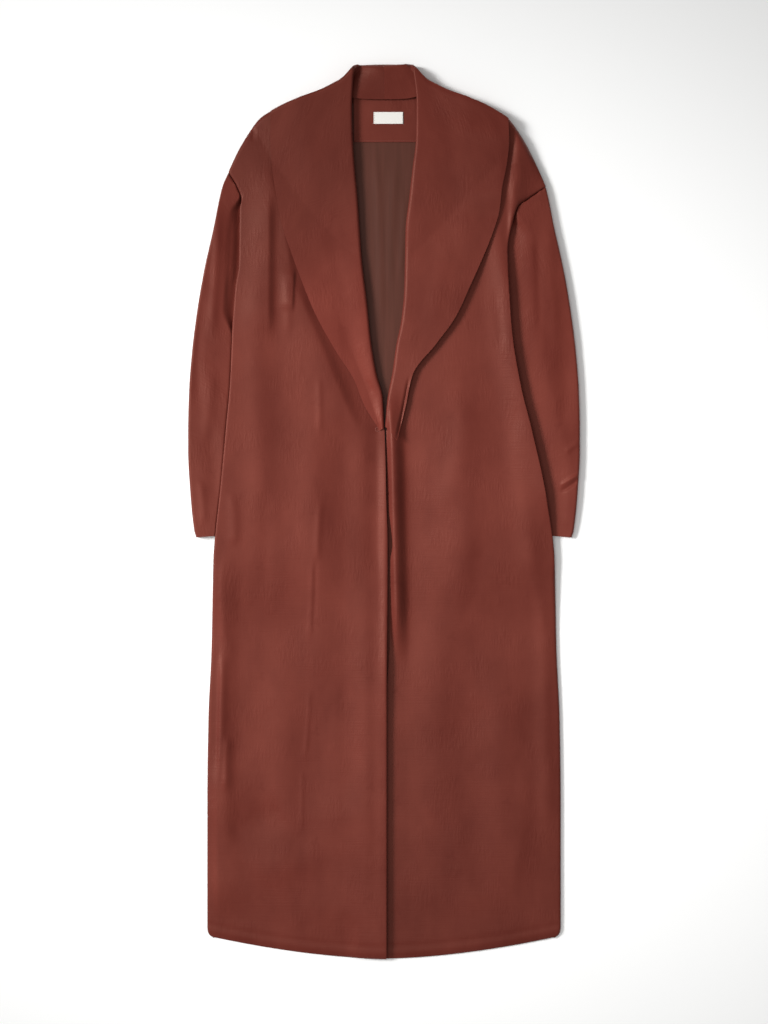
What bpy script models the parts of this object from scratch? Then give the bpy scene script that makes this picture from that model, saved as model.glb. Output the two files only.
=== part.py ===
"""A long shawl-collared coat, laid out flat on its back with its sleeves tucked under its sides.

X runs across the coat, Y up its length towards the collar and Z up from the surface it lies on.
Sizes and tables are in millimetres: "across" runs out from the centre line to either side, and "up"
runs from the lowest point of the hem. Left and right are as seen from above.
"""

import bmesh
import bpy
import numpy as np

MM = 0.001

# Driving sizes
COAT_LENGTH = 1300.0
SEAM_GAP = 0.3
SIDE_SEAM_GAP = 0.8
ARMHOLE_GAP = 3.8
ARMHOLE_START_UP = 930.0
ARMHOLE_FULL_UP = 1020.0
HIDDEN_GAP = 3.0
SHELL_WALL = 1.4
COLLAR_WALL = 1.6
LINING_WALL = 1.0
PATCH_WALL = 1.0
LABEL_WALL = 1.0

# How the layers lie: the body is a flat tube that rises over the sleeves and the collar's back fall
BODY_DEPTH = 6.4
TUCKED_SLEEVE_DEPTH = 4.8
SLEEVE_PUFF = 11.5
SLEEVE_PUFF_WIDTH = 15.0
SUPPORT_CLEARANCE = 0.6
SUPPORT_MARGIN = 30.0
SUPPORT_RAMP = 40.0
NECK_CENTRE_UP = 1262.0
NECK_LIFT = 7.5
NECK_DEPTH = 6.2
NECK_FULL_RADIUS = 120.0
NECK_END_RADIUS = 280.0

# Hem: a shallow curve, highest at the sides
HEM_RISE = 31.0
HEM_HALF_WIDTH = 247.0
HEM_POWER = 1.7
BACK_HEM_RISE = 3.0

LEFT = -1
RIGHT = 1


def table(columns, *rows):
    """Rows of a table, each a dictionary of its named columns."""
    names = columns.split()
    return [dict(zip(names, row)) for row in rows]


# Shoulder line, from the collar's corner out to the sleeve seams
SHOULDER = table(
    "across up",
    (44, 1299), (63, 1279), (74, 1273), (92, 1264), (122, 1253), (151, 1240), (165, 1232),
    (180, 1222), (195, 1203), (209, 1180), (226, 1144), (235, 1123),
)

# Side of the body, from the hem's rounded corner up, then along the sleeve seam to the shoulder
SKIRT_SIDE = table(
    "up across",
    (31, 247), (33, 252), (37, 255.5), (46, 257), (230, 257), (347, 255.5), (449, 251), (580, 248),
)
BODY_SIDE = {
    LEFT: SKIRT_SIDE + table(
        "up across",
        (696, 237), (778, 229.5), (839, 224), (920, 220.5), (977, 216), (1009, 211), (1090, 209.5),
        (1104, 207), (1122, 213), (1144, 226),
    ),
    RIGHT: SKIRT_SIDE + table(
        "up across",
        (667, 237), (776, 213.5), (827, 200.5), (907, 187), (958, 183), (1031, 180), (1075, 188),
        (1095, 195), (1106, 210), (1123, 235),
    ),
}

# Front edges below the closure: x of each edge, where the left front lies over the right one
FRONT_EDGE = table(
    "up left right",
    (0, 3.6, -17), (230, 3.6, -8), (376, 3.6, 0), (492, 5, 6), (540, 5, 9), (602, 5, 11.5),
    (667, 3, 7.5), (725, 0.7, 4.5), (752, 0, 6.5), (768, -0.7, 9.5),
)
OVERLAP_LIFT = 3.2
OVERLAP_RAMP_START = -62.0
OVERLAP_RAMP_END = -24.0
CLOSURE_UP = 768.0
CLOSURE_FADE = 60.0

# Collar sections from the closure to the shoulder line: the rolled edge, the outer edge, how far the
# collar runs back under itself, the depth of its roll and how far its outer edge stands off the front
COLLAR_SECTIONS = {
    LEFT: table(
        "roll_across roll_up edge_across edge_up under roll lift",
        (3, 780, 12, 774, 4, 5, 0.6), (8, 815, 29, 806, 9, 6, 0.6), (13, 857, 44, 843, 13, 6.5, 0.8),
        (20, 900, 70, 884, 15, 7, 1.0), (26, 958, 100, 938, 16, 7, 0.6), (33, 1017, 122, 992, 17, 7, 0.6),
        (36, 1060, 136, 1030, 19, 7, 0.8), (39, 1104, 148, 1066, 22, 7, 1.5),
        (43, 1148, 156, 1106, 26, 7, 2.0), (46, 1192, 162, 1148, 30, 7, 3.0),
        (47, 1240, 165, 1190, 34, 7, 4.0), (44, 1299, 164, 1232, 38, 7, 4.3),
    ),
    RIGHT: table(
        "roll_across roll_up edge_across edge_up under roll lift",
        (4, 776, 19, 754, 6, 6, 3), (7, 813, 31, 800, 9, 8, 5), (11, 857, 42, 850, 12, 9, 6),
        (18, 890, 75, 893, 14, 9, 6), (26, 930, 104, 933, 15, 9, 6), (30, 973, 125, 978, 16, 9, 6),
        (31, 1017, 142, 1016, 17, 9, 5), (32, 1060, 157, 1053, 19, 9, 4), (37, 1104, 167, 1086, 22, 9, 3),
        (42, 1148, 173, 1120, 26, 8.5, 3), (47, 1192, 180, 1150, 30, 8, 3.5),
        (48, 1243, 184, 1187, 34, 7.5, 4), (42, 1299, 180, 1222, 38, 7, 4.3),
    ),
}
COLLAR_REST = 1.6
COLLAR_UNDER_COLUMNS = 3
COLLAR_ROLL_ANGLES = (-90, -54, -18, 18, 54, 90)
COLLAR_OVER_COLUMNS = 6
COLLAR_ROWS = 24
LAST_FRONT_ROW = 0.45
COLLAR_FOLD_ANGLES = (90, 60, 30, 0, -30, -60, -90)
COLLAR_BACK_ROWS = 5
ROLL_FADE = 0.6
SAG_SECTIONS = 2.0
CORNER_SHARE = 0.4
BACK_FALL_UP = 1225.0
BACK_STAND_UP = 1249.5
BACK_STAND_FOOT = 14.4
BACK_STAND_TOP = 20.0
STAND_SETTLES = 4
COLLAR_CORNER_STAND = 9.4
SHOULDER_INSET = 9.0
INSET_BEFORE_EDGE = 14.0
INSET_PAST_EDGE = 8.0
NECK_POINT_ACROSS = 77.0
NECKLINE_UP = 1251.0

# Folds of the two fronts: ridges stand up and troughs have a negative height
FRONT_FOLDS = {
    LEFT: table(
        "from_across from_up to_across to_up width height",
        (-2, 790, -2, 330, 8, 4.0), (19, 790, 17, 610, 11, -1.4), (178, 1150, 164, 930, 13, 2.6),
        (163, 1120, 151, 890, 9, -1.5), (190, 1030, 176, 560, 20, 2.0),
        (100, 850, 96, 330, 24, 2.4), (60, 700, 66, 120, 30, 1.6), (228, 620, 232, 140, 13, 2.4),
        (145, 480, 150, 40, 26, 2.0),
    ),
    RIGHT: table(
        "from_across from_up to_across to_up width height",
        (9, 800, 17, 470, 7, 4.6), (28, 790, 34, 430, 11, -1.6), (194, 1215, 184, 1030, 7, 4.0),
        (183, 1210, 172, 1080, 6, -1.6), (168, 1090, 182, 850, 10, 2.4), (120, 880, 112, 420, 26, 2.2),
        (190, 800, 222, 520, 16, 2.2), (72, 640, 80, 160, 30, 1.8), (168, 470, 176, 60, 28, 2.2),
        (232, 560, 238, 150, 13, 2.0),
    ),
}
FOLD_END = 0.25

# Sleeves: the outer edge follows one curve, and the rest of each flat tube lies under the body
SLEEVE_OUTER = table(
    "up across",
    (613, 273), (623, 276), (682, 282), (740, 285), (769, 285), (827, 283.5), (885, 279), (944, 271.5),
    (1002, 261.5), (1060, 248.5), (1123, 235), (1144, 226),
)
SLEEVE_HEAD = {LEFT: (226, 1144), RIGHT: (235, 1123)}
SLEEVE_SEAM_BEND = {LEFT: (194, 1115), RIGHT: (172, 1116)}
UNDERARM = (137, 945)
CUFF_OUTER = (273, 613)
CUFF_INNER = (155, 622)
SEAM_BEND_END = 0.4
SLEEVE_ROWS = 17
SLEEVE_COLUMNS = 2
RISING_STEPS = (12.0, 8.0, 4.0, 0.0)
TUCKED_STEPS = (0.0, 0.5, 1.4, 2.6)
TUCK_START = 2.0
PUFF_START = 1.0
LEAST_SHOWN = 14.0
PLACES_TRIED = 201

# Lining, patch and label in the neck opening: the lining is cut at whole columns of the back
LINING_BOTTOM, LINING_TOP = 745.0, 1245.0
LINING_HALF_COLUMNS = 2
PATCH_LEFT, PATCH_RIGHT = -44.0, 48.5
PATCH_BOTTOM, PATCH_TOP = 1188.0, 1250.0
LABEL_LEFT, LABEL_RIGHT = -15.0, 28.5
LABEL_BOTTOM, LABEL_TOP = 1215.0, 1234.0
PATCH_COLUMNS = 7
PATCH_ROWS = 5
LABEL_COLUMNS = 4

# Mesh spacing: distances from an edge that round it off, and counts between
EDGE_STEPS = (0.0, 0.01, 1.2, 4.0, 9.0)
SLEEVE_EDGE_STEPS = (0.0, 0.7, 2.2, 4.5, 8.0)
HEM_STEPS = (0.0, 2.0, 6.0, 15.0)
FREE_EDGE_STEP = 3.0
HEM_BLEND = 0.15
SHOULDER_BLEND = 0.28
EDGE_ROUNDNESS = 0.6
SLANT_REACH = 2.0
BODY_ROWS = 24
FRONT_COLUMNS = 8
BACK_COLUMNS = 10
WELD = 0.01

# Colours, as the photograph's sRGB values, with a roughness each
SATIN = ("satin_shell", "#7A3A30", 0.42)
LINING_CLOTH = ("lining", "#5A392F", 0.55)
LABEL_CLOTH = ("woven_label", "#F1ECE4", 0.7)


def read(rows, key, column, at):
    """The column's value where the key column equals at, on a smooth curve through the rows."""
    stops = np.array([row[key] for row in rows], float)
    values = np.array([row[column] for row in rows], float)
    rises = np.diff(values) / np.diff(stops)
    before, after = np.append(rises[:1], rises), np.append(rises, rises[-1:])
    same_way = before * after > 0
    slopes = np.where(same_way, 2 * before * after / np.where(same_way, before + after, 1.0), 0.0)
    at = np.clip(at, stops[0], stops[-1])
    low = np.clip(np.searchsorted(stops, at, side="right") - 1, 0, len(stops) - 2)
    span = stops[low + 1] - stops[low]
    t = (at - stops[low]) / span
    return (
        values[low] * (1 + 2 * t) * (1 - t) ** 2
        + values[low + 1] * t ** 2 * (3 - 2 * t)
        + slopes[low] * span * t * (1 - t) ** 2
        + slopes[low + 1] * span * t ** 2 * (t - 1)
    )


def ease(t):
    """A smooth step from 0 to 1."""
    t = np.clip(t, 0.0, 1.0)
    return t * t * (3 - 2 * t)


def mix(a, b, t):
    return a + (b - a) * t


def round_off(distance, radius):
    """A quarter circle that rises from 0 at an edge to 1 at the radius."""
    t = 1 - np.clip(distance / radius, 0.0, 1.0)
    return np.sqrt(1 - t * t)


def distance_to_outline(x, y, corners):
    """Distance to a straight-sided outline, 0 inside it."""
    nearest = np.full(np.shape(x), np.inf)
    inside = np.zeros(np.shape(x), bool)
    for (ax, ay), (bx, by) in zip(corners, corners[1:] + corners[:1]):
        along = ((x - ax) * (bx - ax) + (y - ay) * (by - ay)) / ((bx - ax) ** 2 + (by - ay) ** 2)
        along = np.clip(along, 0.0, 1.0)
        nearest = np.minimum(nearest, np.hypot(x - mix(ax, bx, along), y - mix(ay, by, along)))
        if ay != by:
            crossing = ax + (y - ay) * (bx - ax) / (by - ay)
            inside ^= ((ay > y) != (by > y)) & (x < crossing)
    return np.where(inside, 0.0, nearest)


def bent_seam(side, w):
    """The sleeve seam in plan, from the shoulder (w = 0) to the underarm (w = 1)."""
    start, bend, end = SLEEVE_HEAD[side], SLEEVE_SEAM_BEND[side], UNDERARM
    return [(1 - w) ** 2 * start[i] + 2 * w * (1 - w) * bend[i] + w * w * end[i] for i in (0, 1)]


def neck(x, y):
    """1 at the neck, where the collar lifts the body, fading out down the chest."""
    away = np.hypot(x, y - NECK_CENTRE_UP)
    return 1 - ease((away - NECK_FULL_RADIUS) / (NECK_END_RADIUS - NECK_FULL_RADIUS))


def support(x, y):
    """Height of the body's underside over the tucked sleeves and the collar's back fall."""
    height = NECK_LIFT * neck(x, y)
    for side in (LEFT, RIGHT):
        outline = [SLEEVE_HEAD[side], tuple(bent_seam(side, 0.5)), UNDERARM, CUFF_INNER, CUFF_OUTER]
        away = distance_to_outline(x * side, y, outline)
        clear = TUCKED_SLEEVE_DEPTH + SUPPORT_CLEARANCE
        height = np.maximum(height, clear * (1 - ease((away - SUPPORT_MARGIN) / SUPPORT_RAMP)))
    return height


def depth(x, y):
    """From the underside of the back to the top of a plain front."""
    return BODY_DEPTH + NECK_DEPTH * neck(x, y)


def folds(side, x, y):
    """Ridges and troughs of one front."""
    height = np.zeros(np.shape(x))
    for fold in FRONT_FOLDS[side]:
        ax, ay = side * fold["from_across"], fold["from_up"]
        bx, by = side * fold["to_across"], fold["to_up"]
        length = np.hypot(bx - ax, by - ay)
        along = ((x - ax) * (bx - ax) + (y - ay) * (by - ay)) / length ** 2
        aside = ((x - ax) * (by - ay) - (y - ay) * (bx - ax)) / length
        ends = ease(along / FOLD_END) * ease((1 - along) / FOLD_END)
        height += fold["height"] * ends * np.exp(-((aside / fold["width"]) ** 2))
    return height


def front_top(side, x, y):
    """Top of a front, before its side edge rounds down."""
    height = support(x, y) + depth(x, y) + folds(side, x, y)
    if side == LEFT:
        ramp = ease((x - OVERLAP_RAMP_START) / (OVERLAP_RAMP_END - OVERLAP_RAMP_START))
        height += OVERLAP_LIFT * ramp * ease((CLOSURE_UP + CLOSURE_FADE - y) / CLOSURE_FADE)
    return height


def side_seam(x, y):
    """Height where front and back meet along the side."""
    return support(x, y) + depth(x, y) / 2


def side_gap(y):
    """Gap between front and back at the side, wider where the armhole opens."""
    opened = ease((y - ARMHOLE_START_UP) / (ARMHOLE_FULL_UP - ARMHOLE_START_UP))
    return mix(SIDE_SEAM_GAP, ARMHOLE_GAP, opened)


def shoulder_line(side, across):
    """Top of the body at the shoulder, drawn in where the collar wraps over it."""
    collar_end = COLLAR_SECTIONS[side][-1]["edge_across"]
    past = (across - collar_end + INSET_BEFORE_EDGE) / (INSET_BEFORE_EDGE + INSET_PAST_EDGE)
    return read(SHOULDER, "across", "up", across) - SHOULDER_INSET * (1 - ease(past))


def hem_line(across):
    return HEM_RISE * (np.abs(across) / HEM_HALF_WIDTH) ** HEM_POWER


def spaced(start, count, end, length):
    """Places along a length: fixed steps at both ends and even ones between."""
    between = np.linspace(start[-1], length - end[-1], count + 2)
    return np.concatenate([start, between[1:-1], [length - step for step in reversed(end)]])


def body_rows():
    """Rows that the fronts and the back share, from 0 at the hem to 1 at the shoulders."""
    return spaced(HEM_STEPS, BODY_ROWS, EDGE_STEPS, NECKLINE_UP) / NECKLINE_UP


def plan_steps(steps, both_ends):
    """Steps in plan as shares of their length, with the first one upright, so that the wall ends level."""
    lip = EDGE_STEPS[1]
    end = steps[-1] - lip if both_ends else steps[-1]
    return (np.clip(steps, lip, end) - lip) / (end - lip)


def slant(side, up):
    """How much longer a level step is than one square to the body's side, which slants at its corners."""
    seam = BODY_SIDE[side]
    lean = read(seam, "up", "across", up + SLANT_REACH) - read(seam, "up", "across", up - SLANT_REACH)
    return float(np.hypot(1.0, lean / (2 * SLANT_REACH)))


def edge_rise(x, y, from_edge):
    """0 at a rounded edge, 1 where the panel is flat again."""
    return round_off(from_edge, depth(x, y) / 2 + EDGE_ROUNDNESS)


def collar_section(side, at):
    """The collar table's columns, read at a place between its sections."""
    rows = [dict(row, number=number) for number, row in enumerate(COLLAR_SECTIONS[side])]
    section = {name: float(read(rows, "number", name, at)) for name in COLLAR_SECTIONS[side][0]}
    run = np.array([section[f"edge_{way}"] - section[f"roll_{way}"] for way in ("across", "up")])
    section["width"] = float(np.hypot(*run))
    section["run"] = run / section["width"]
    return section


def collar_seam(side, at):
    """Plan of the collar's seam with the front, hidden under its roll."""
    section = collar_section(side, at)
    return (
        section["roll_across"] + section["run"][0] * section["under"],
        section["roll_up"] + section["run"][1] * section["under"],
    )


def inner_edge(side):
    """A front's inner edge from hem to neck: the front edge, then its seam with the collar."""
    name = "left" if side == LEFT else "right"
    rows = [{"up": row["up"], "across": side * row[name]} for row in FRONT_EDGE]
    for number in range(len(COLLAR_SECTIONS[side]) - 1):
        across, up = collar_seam(side, number)
        if up > CLOSURE_UP + FREE_EDGE_STEP:
            rows.append({"up": up, "across": across + HIDDEN_GAP})
    rows.append({"up": float(shoulder_line(side, NECK_POINT_ACROSS)), "across": NECK_POINT_ACROSS})
    return rows


def front_sheet(side):
    """Top of a front: rows up from the hem, columns in from the side seam."""
    inner = inner_edge(side)
    seam = BODY_SIDE[side]
    top = inner[-1]["up"]
    rows = []
    for v in body_rows():
        height = top * v
        side_up = mix(seam[0]["up"], seam[-1]["up"], v)
        side_across = read(seam, "up", "across", side_up)
        inner_across = read(inner, "up", "across", height)
        stretch = slant(side, side_up)
        edge = np.array(EDGE_STEPS) * stretch
        from_side = spaced(edge, FRONT_COLUMNS, (0.0, FREE_EDGE_STEP), side_across - inner_across)
        f = plan_steps(from_side, False)
        hem_across = mix(seam[0]["across"], inner[0]["across"], f)
        hem_bow = hem_line(hem_across) - mix(seam[0]["up"], 0.0, f)
        top_across = mix(seam[-1]["across"], NECK_POINT_ACROSS, f)
        top_bow = shoulder_line(side, top_across) - mix(seam[-1]["up"], top, f)
        x = side * mix(side_across, inner_across, f)
        y = mix(side_up, height, f) + hem_bow * (1 - ease(v / HEM_BLEND))
        y = y + top_bow * ease((v - 1 + SHOULDER_BLEND) / SHOULDER_BLEND)
        rise = edge_rise(x, y, from_side / stretch) * edge_rise(x, y, top - height)
        z = mix(side_seam(x, y) + side_gap(y) / 2, front_top(side, x, y), rise)
        rows.append(np.stack([x, y, z], axis=-1))
    return np.array(rows)


def back_neck_line(x):
    """Top edge of the back: the shoulders, and the neckline dipping between them."""
    corner = float(shoulder_line(LEFT, NECK_POINT_ACROSS))
    neckline = mix(NECKLINE_UP, corner, (x / NECK_POINT_ACROSS) ** 2)
    shoulders = np.where(x < 0, shoulder_line(LEFT, np.abs(x)), shoulder_line(RIGHT, np.abs(x)))
    return np.where(np.abs(x) > NECK_POINT_ACROSS, shoulders, neckline)


def back_sheet():
    """Underside of the back, its sides and shoulders rounding up to meet the fronts."""
    left, right = BODY_SIDE[LEFT], BODY_SIDE[RIGHT]
    rows = []
    for v in body_rows():
        left_up = mix(left[0]["up"], left[-1]["up"], v)
        right_up = mix(right[0]["up"], right[-1]["up"], v)
        left_x = -read(left, "up", "across", left_up)
        right_x = read(right, "up", "across", right_up)
        left_edge = np.array(EDGE_STEPS) * slant(LEFT, left_up)
        right_edge = np.array(EDGE_STEPS) * slant(RIGHT, right_up)
        steps = spaced(left_edge, BACK_COLUMNS, right_edge, right_x - left_x)
        f = plan_steps(steps, True)
        hem_x = mix(-left[0]["across"], right[0]["across"], f)
        hem_bow = hem_line(hem_x) - mix(left[0]["up"], right[0]["up"], f) + BACK_HEM_RISE
        top_x = mix(-left[-1]["across"], right[-1]["across"], f)
        top_bow = back_neck_line(top_x) - mix(left[-1]["up"], right[-1]["up"], f)
        x = mix(left_x, right_x, f)
        y = mix(left_up, right_up, f) + hem_bow * (1 - ease(v / HEM_BLEND))
        y = y + top_bow * ease((v - 1 + SHOULDER_BLEND) / SHOULDER_BLEND)
        shoulder = ease((np.abs(x) - NECK_POINT_ACROSS) / SHOULDER_INSET)
        from_left, from_right = steps / slant(LEFT, left_up), (steps[-1] - steps) / slant(RIGHT, right_up)
        rise = edge_rise(x, y, np.minimum(from_left, from_right))
        rise = rise * mix(1.0, edge_rise(x, y, NECKLINE_UP * (1 - v)), shoulder)
        z = mix(side_seam(x, y) - side_gap(y) / 2, support(x, y), rise)
        rows.append(np.stack([x, y, z], axis=-1))
    return np.array(rows)


def collar_columns(section):
    """Distances from a section's rolled edge, and places on the roll from -1 (under) to 1 (over)."""
    radius = section["roll"] / 2
    under = np.linspace(section["under"], radius, COLLAR_UNDER_COLUMNS + 1)[:-1]
    angles = np.radians(COLLAR_ROLL_ANGLES)
    over = np.linspace(radius, section["width"], COLLAR_OVER_COLUMNS + 1)[1:]
    distance = np.concatenate([under, radius * (1 - np.cos(angles)), over])
    place = np.concatenate([-np.ones(len(under)), np.sin(angles), np.ones(len(over))])
    return distance, place


def collar_front_row(side, at):
    """Middle of one front section, from its hidden seam round the roll to its outer edge."""
    last = len(COLLAR_SECTIONS[side]) - 1
    section = collar_section(side, at)
    end = collar_section(side, last)
    distance, place = collar_columns(section)
    f = distance / section["width"]
    end_across = end["roll_across"] + f * end["width"] * end["run"][0]
    sag = read(SHOULDER, "across", "up", end_across) - (end["roll_up"] + f * end["width"] * end["run"][1])
    x = side * (section["roll_across"] + section["run"][0] * distance)
    y = section["roll_up"] + section["run"][1] * distance
    y = y + sag * ease((at - last + SAG_SECTIONS) / SAG_SECTIONS)
    seam_across, seam_up = collar_seam(side, at)
    foot = front_top(side, side * seam_across, seam_up) - SHELL_WALL / 2
    on_front = front_top(side, x, y) + COLLAR_REST + COLLAR_WALL / 2
    radius = section["roll"] / 2
    out = np.clip((distance - radius) / (section["width"] - radius), 0.0, 1.0)
    roll_stands = foot + section["roll"] - on_front[place == 1][0]
    fall = on_front + mix(roll_stands, section["lift"], ease(out / ROLL_FADE))
    z = np.where(place < 1, foot + radius * (place + 1), fall)
    return np.stack([x, y, z], axis=-1)


def collar_fold_rows(side):
    """Sections that wrap the collar round the shoulder line, from its front to its back layer."""
    last = len(COLLAR_SECTIONS[side]) - 1
    front = collar_front_row(side, last)
    section = collar_section(side, last)
    distance, place = collar_columns(section)
    back_height = mix(COLLAR_CORNER_STAND, COLLAR_WALL / 2, (place + 1) / 2)
    radius = (front[:, 2] - back_height) / 2
    middle = (front[:, 2] + back_height) / 2
    outer_radius = np.where(place < 1, radius[place == 1][0], radius)
    across = side * front[:, 0]
    slope = read(SHOULDER, "across", "up", across + 1) - read(SHOULDER, "across", "up", across)
    inward = np.stack([slope, -np.ones(len(slope))], axis=-1) / np.hypot(slope, 1)[:, None]
    settled = ease(distance / section["width"] / CORNER_SHARE)[:, None]
    front_in = mix(np.array([0.0, -1.0]), inward, settled)
    back_in = mix(np.array([-1.0, 0.0]), inward, settled)
    rows = []
    for angle in np.radians(COLLAR_FOLD_ANGLES):
        way = mix(back_in, front_in, (1 + np.sin(angle)) / 2)
        inset = COLLAR_WALL / 2 + outer_radius - radius * np.cos(angle)
        plan = np.stack([across, front[:, 1]], axis=-1) + way * inset[:, None]
        rows.append(np.stack([side * plan[:, 0], plan[:, 1], middle + radius * np.sin(angle)], axis=-1))
    return rows


def collar_back_rows(side, corner):
    """Sections behind the neck, from the shoulder fold to the seam at the centre back."""
    section = {"roll": BACK_STAND_TOP - COLLAR_WALL / 2, "under": COAT_LENGTH - BACK_STAND_UP}
    section["width"] = COAT_LENGTH - BACK_FALL_UP
    distance, place = collar_columns(section)
    radius = section["roll"] / 2
    stand = np.where(place == -1, (distance - radius) / (section["under"] - radius), 0.0)
    z = mix(BACK_STAND_TOP, COLLAR_WALL / 2, (place + 1) / 2)
    z = mix(z, BACK_STAND_FOOT, stand)
    x = np.full(len(z), side * SEAM_GAP / 2)
    centre = np.stack([x, COAT_LENGTH - COLLAR_WALL / 2 - distance, z], axis=-1)
    rows = []
    for v in np.linspace(0.0, 1.0, COLLAR_BACK_ROWS + 1)[1:]:
        quick = mix(v, 1 - (1 - v) ** STAND_SETTLES, stand)
        rise = mix(1 - (1 - v) ** 2, quick, stand)
        shares = np.stack([np.full(len(z), v), quick, rise], axis=-1)
        rows.append(mix(corner, centre, shares))
    return rows


def collar_sheet(side):
    """Middle of one collar half: up the front, round the shoulder and along the back of the neck."""
    last = len(COLLAR_SECTIONS[side]) - 1
    fronts = [collar_front_row(side, at) for at in np.linspace(0, last - LAST_FRONT_ROW, COLLAR_ROWS)]
    wrap = collar_fold_rows(side)
    return np.array(fronts + wrap + collar_back_rows(side, wrap[-1]))


def sleeve_sheet(side):
    """Outer skin of a sleeve: flat rings from the armhole seam to the cuff."""
    head = SLEEVE_HEAD[side]
    rows = []
    for s in np.linspace(0.0, 1.0, SLEEVE_ROWS):
        outer_up = mix(head[1], CUFF_OUTER[1], s)
        outer = (float(read(SLEEVE_OUTER, "up", "across", outer_up)), outer_up)
        inner = [mix(UNDERARM[i], CUFF_INNER[i], s) for i in (0, 1)]
        width = np.hypot(inner[0] - outer[0], inner[1] - outer[1])
        bend = (1 - np.clip(s / SEAM_BEND_END, 0.0, 1.0)) ** 2

        def place(w):
            """Plan of the ring at a share of its width, and how far that lies outside the body."""
            seam = bent_seam(side, w)
            across = mix(outer[0], inner[0], w) + bend * (seam[0] - mix(head[0], UNDERARM[0], w))
            up = mix(outer[1], inner[1], w) + bend * (seam[1] - mix(head[1], UNDERARM[1], w))
            return across, up, across - read(BODY_SIDE[side], "up", "across", up)

        shares = np.linspace(0.0, 1.0, PLACES_TRIED)
        shown = max(width * np.max(shares[place(shares)[2] >= 0], initial=0.0), LEAST_SHOWN)
        edge = np.array(SLEEVE_EDGE_STEPS)
        rising = shown - np.array(RISING_STEPS) * min(1.0, (shown - edge[-1]) / SLEEVE_PUFF_WIDTH)
        tucked = spaced((shown + TUCK_START,), SLEEVE_COLUMNS, TUCKED_STEPS, width)
        steps = np.concatenate([edge, rising, tucked])
        across, up, outside = place(steps / width)
        puff = ease((outside - PUFF_START) / SLEEVE_PUFF_WIDTH)
        top = mix(TUCKED_SLEEVE_DEPTH, SLEEVE_PUFF, puff)
        rise = round_off(steps, top / 2) * round_off(width - steps, top / 2)
        over = np.stack([side * across, up, mix(top / 2, top, rise)], axis=-1)
        under = np.stack([side * across, up, mix(top / 2, 0.0, rise)], axis=-1)
        rows.append(np.concatenate([over, under[-2:0:-1], over[:1]]))
    return np.array(rows)


def back_top(x, y):
    return support(x, y) + SHELL_WALL + SEAM_GAP


def lining_sheet(back):
    """The middle of the back's own points above the closure, moved out onto its top."""
    middle = back.shape[1] // 2
    columns = slice(middle - LINING_HALF_COLUMNS, middle + LINING_HALF_COLUMNS)
    shown = (back[:, middle, 1] > LINING_BOTTOM) & (back[:, middle, 1] < LINING_TOP)
    return back[shown][:, columns] + np.array([0.0, 0.0, SHELL_WALL + SEAM_GAP])


def flat_sheet(left, right, bottom, top, columns, lift):
    """A rectangle of cloth laid over the back, raised by what is under it."""
    x, y = np.meshgrid(np.linspace(left, right, columns), np.linspace(bottom, top, PATCH_ROWS))
    return np.stack([x, y, back_top(x, y) + lift], axis=-1)


def linear(hex_colour):
    """A hex colour as linear RGBA."""
    shares = [int(hex_colour[i:i + 2], 16) / 255 for i in (1, 3, 5)]
    return [c / 12.92 if c <= 0.04045 else ((c + 0.055) / 1.055) ** 2.4 for c in shares] + [1.0]


def cloth(name, finish):
    """A plain cloth material for one piece."""
    kind, colour, roughness = finish
    material = bpy.data.materials.new(f"{name}_{kind}")
    material.use_nodes = True
    shader = material.node_tree.nodes["Principled BSDF"]
    shader.inputs["Base Color"].default_value = linear(colour)
    shader.inputs["Roughness"].default_value = roughness
    shader.inputs["Metallic"].default_value = 0.0
    return material


def piece(name, points, wall, side_of_sheet, finish):
    """One cloth piece: a grid laid through the points, closed if its last column is its first, with a wall.

    side_of_sheet is -1 where the wall goes below the sheet, 1 above and 0 to both sides.
    """
    rows, columns = points.shape[:2]
    form = bmesh.new()
    bmesh.ops.create_grid(form, x_segments=columns - 1, y_segments=rows - 1, size=1.0)
    form.verts.ensure_lookup_table()
    for vert, (x, y, z) in zip(form.verts, points.reshape(-1, 3)):
        vert.co = (x * MM, (y - COAT_LENGTH / 2) * MM, z * MM)
    bmesh.ops.remove_doubles(form, verts=form.verts, dist=WELD * MM)
    form.normal_update()
    if np.allclose(points[:, 0], points[:, -1]):
        bmesh.ops.recalc_face_normals(form, faces=form.faces)
    elif sum(face.normal.z * face.calc_area() for face in form.faces) < 0:
        bmesh.ops.reverse_faces(form, faces=form.faces)
    mesh = bpy.data.meshes.new(name)
    form.to_mesh(mesh)
    form.free()
    mesh.shade_smooth()
    thing = bpy.data.objects.new(name, mesh)
    bpy.context.collection.objects.link(thing)
    thing.data.materials.append(cloth(name, finish))
    thickness = thing.modifiers.new("wall", "SOLIDIFY")
    thickness.thickness = wall * MM
    thickness.offset = side_of_sheet
    thickness.use_even_offset = True
    thickness.use_quality_normals = True
    return thing


for old in list(bpy.data.objects):
    bpy.data.objects.remove(old, do_unlink=True)

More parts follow.
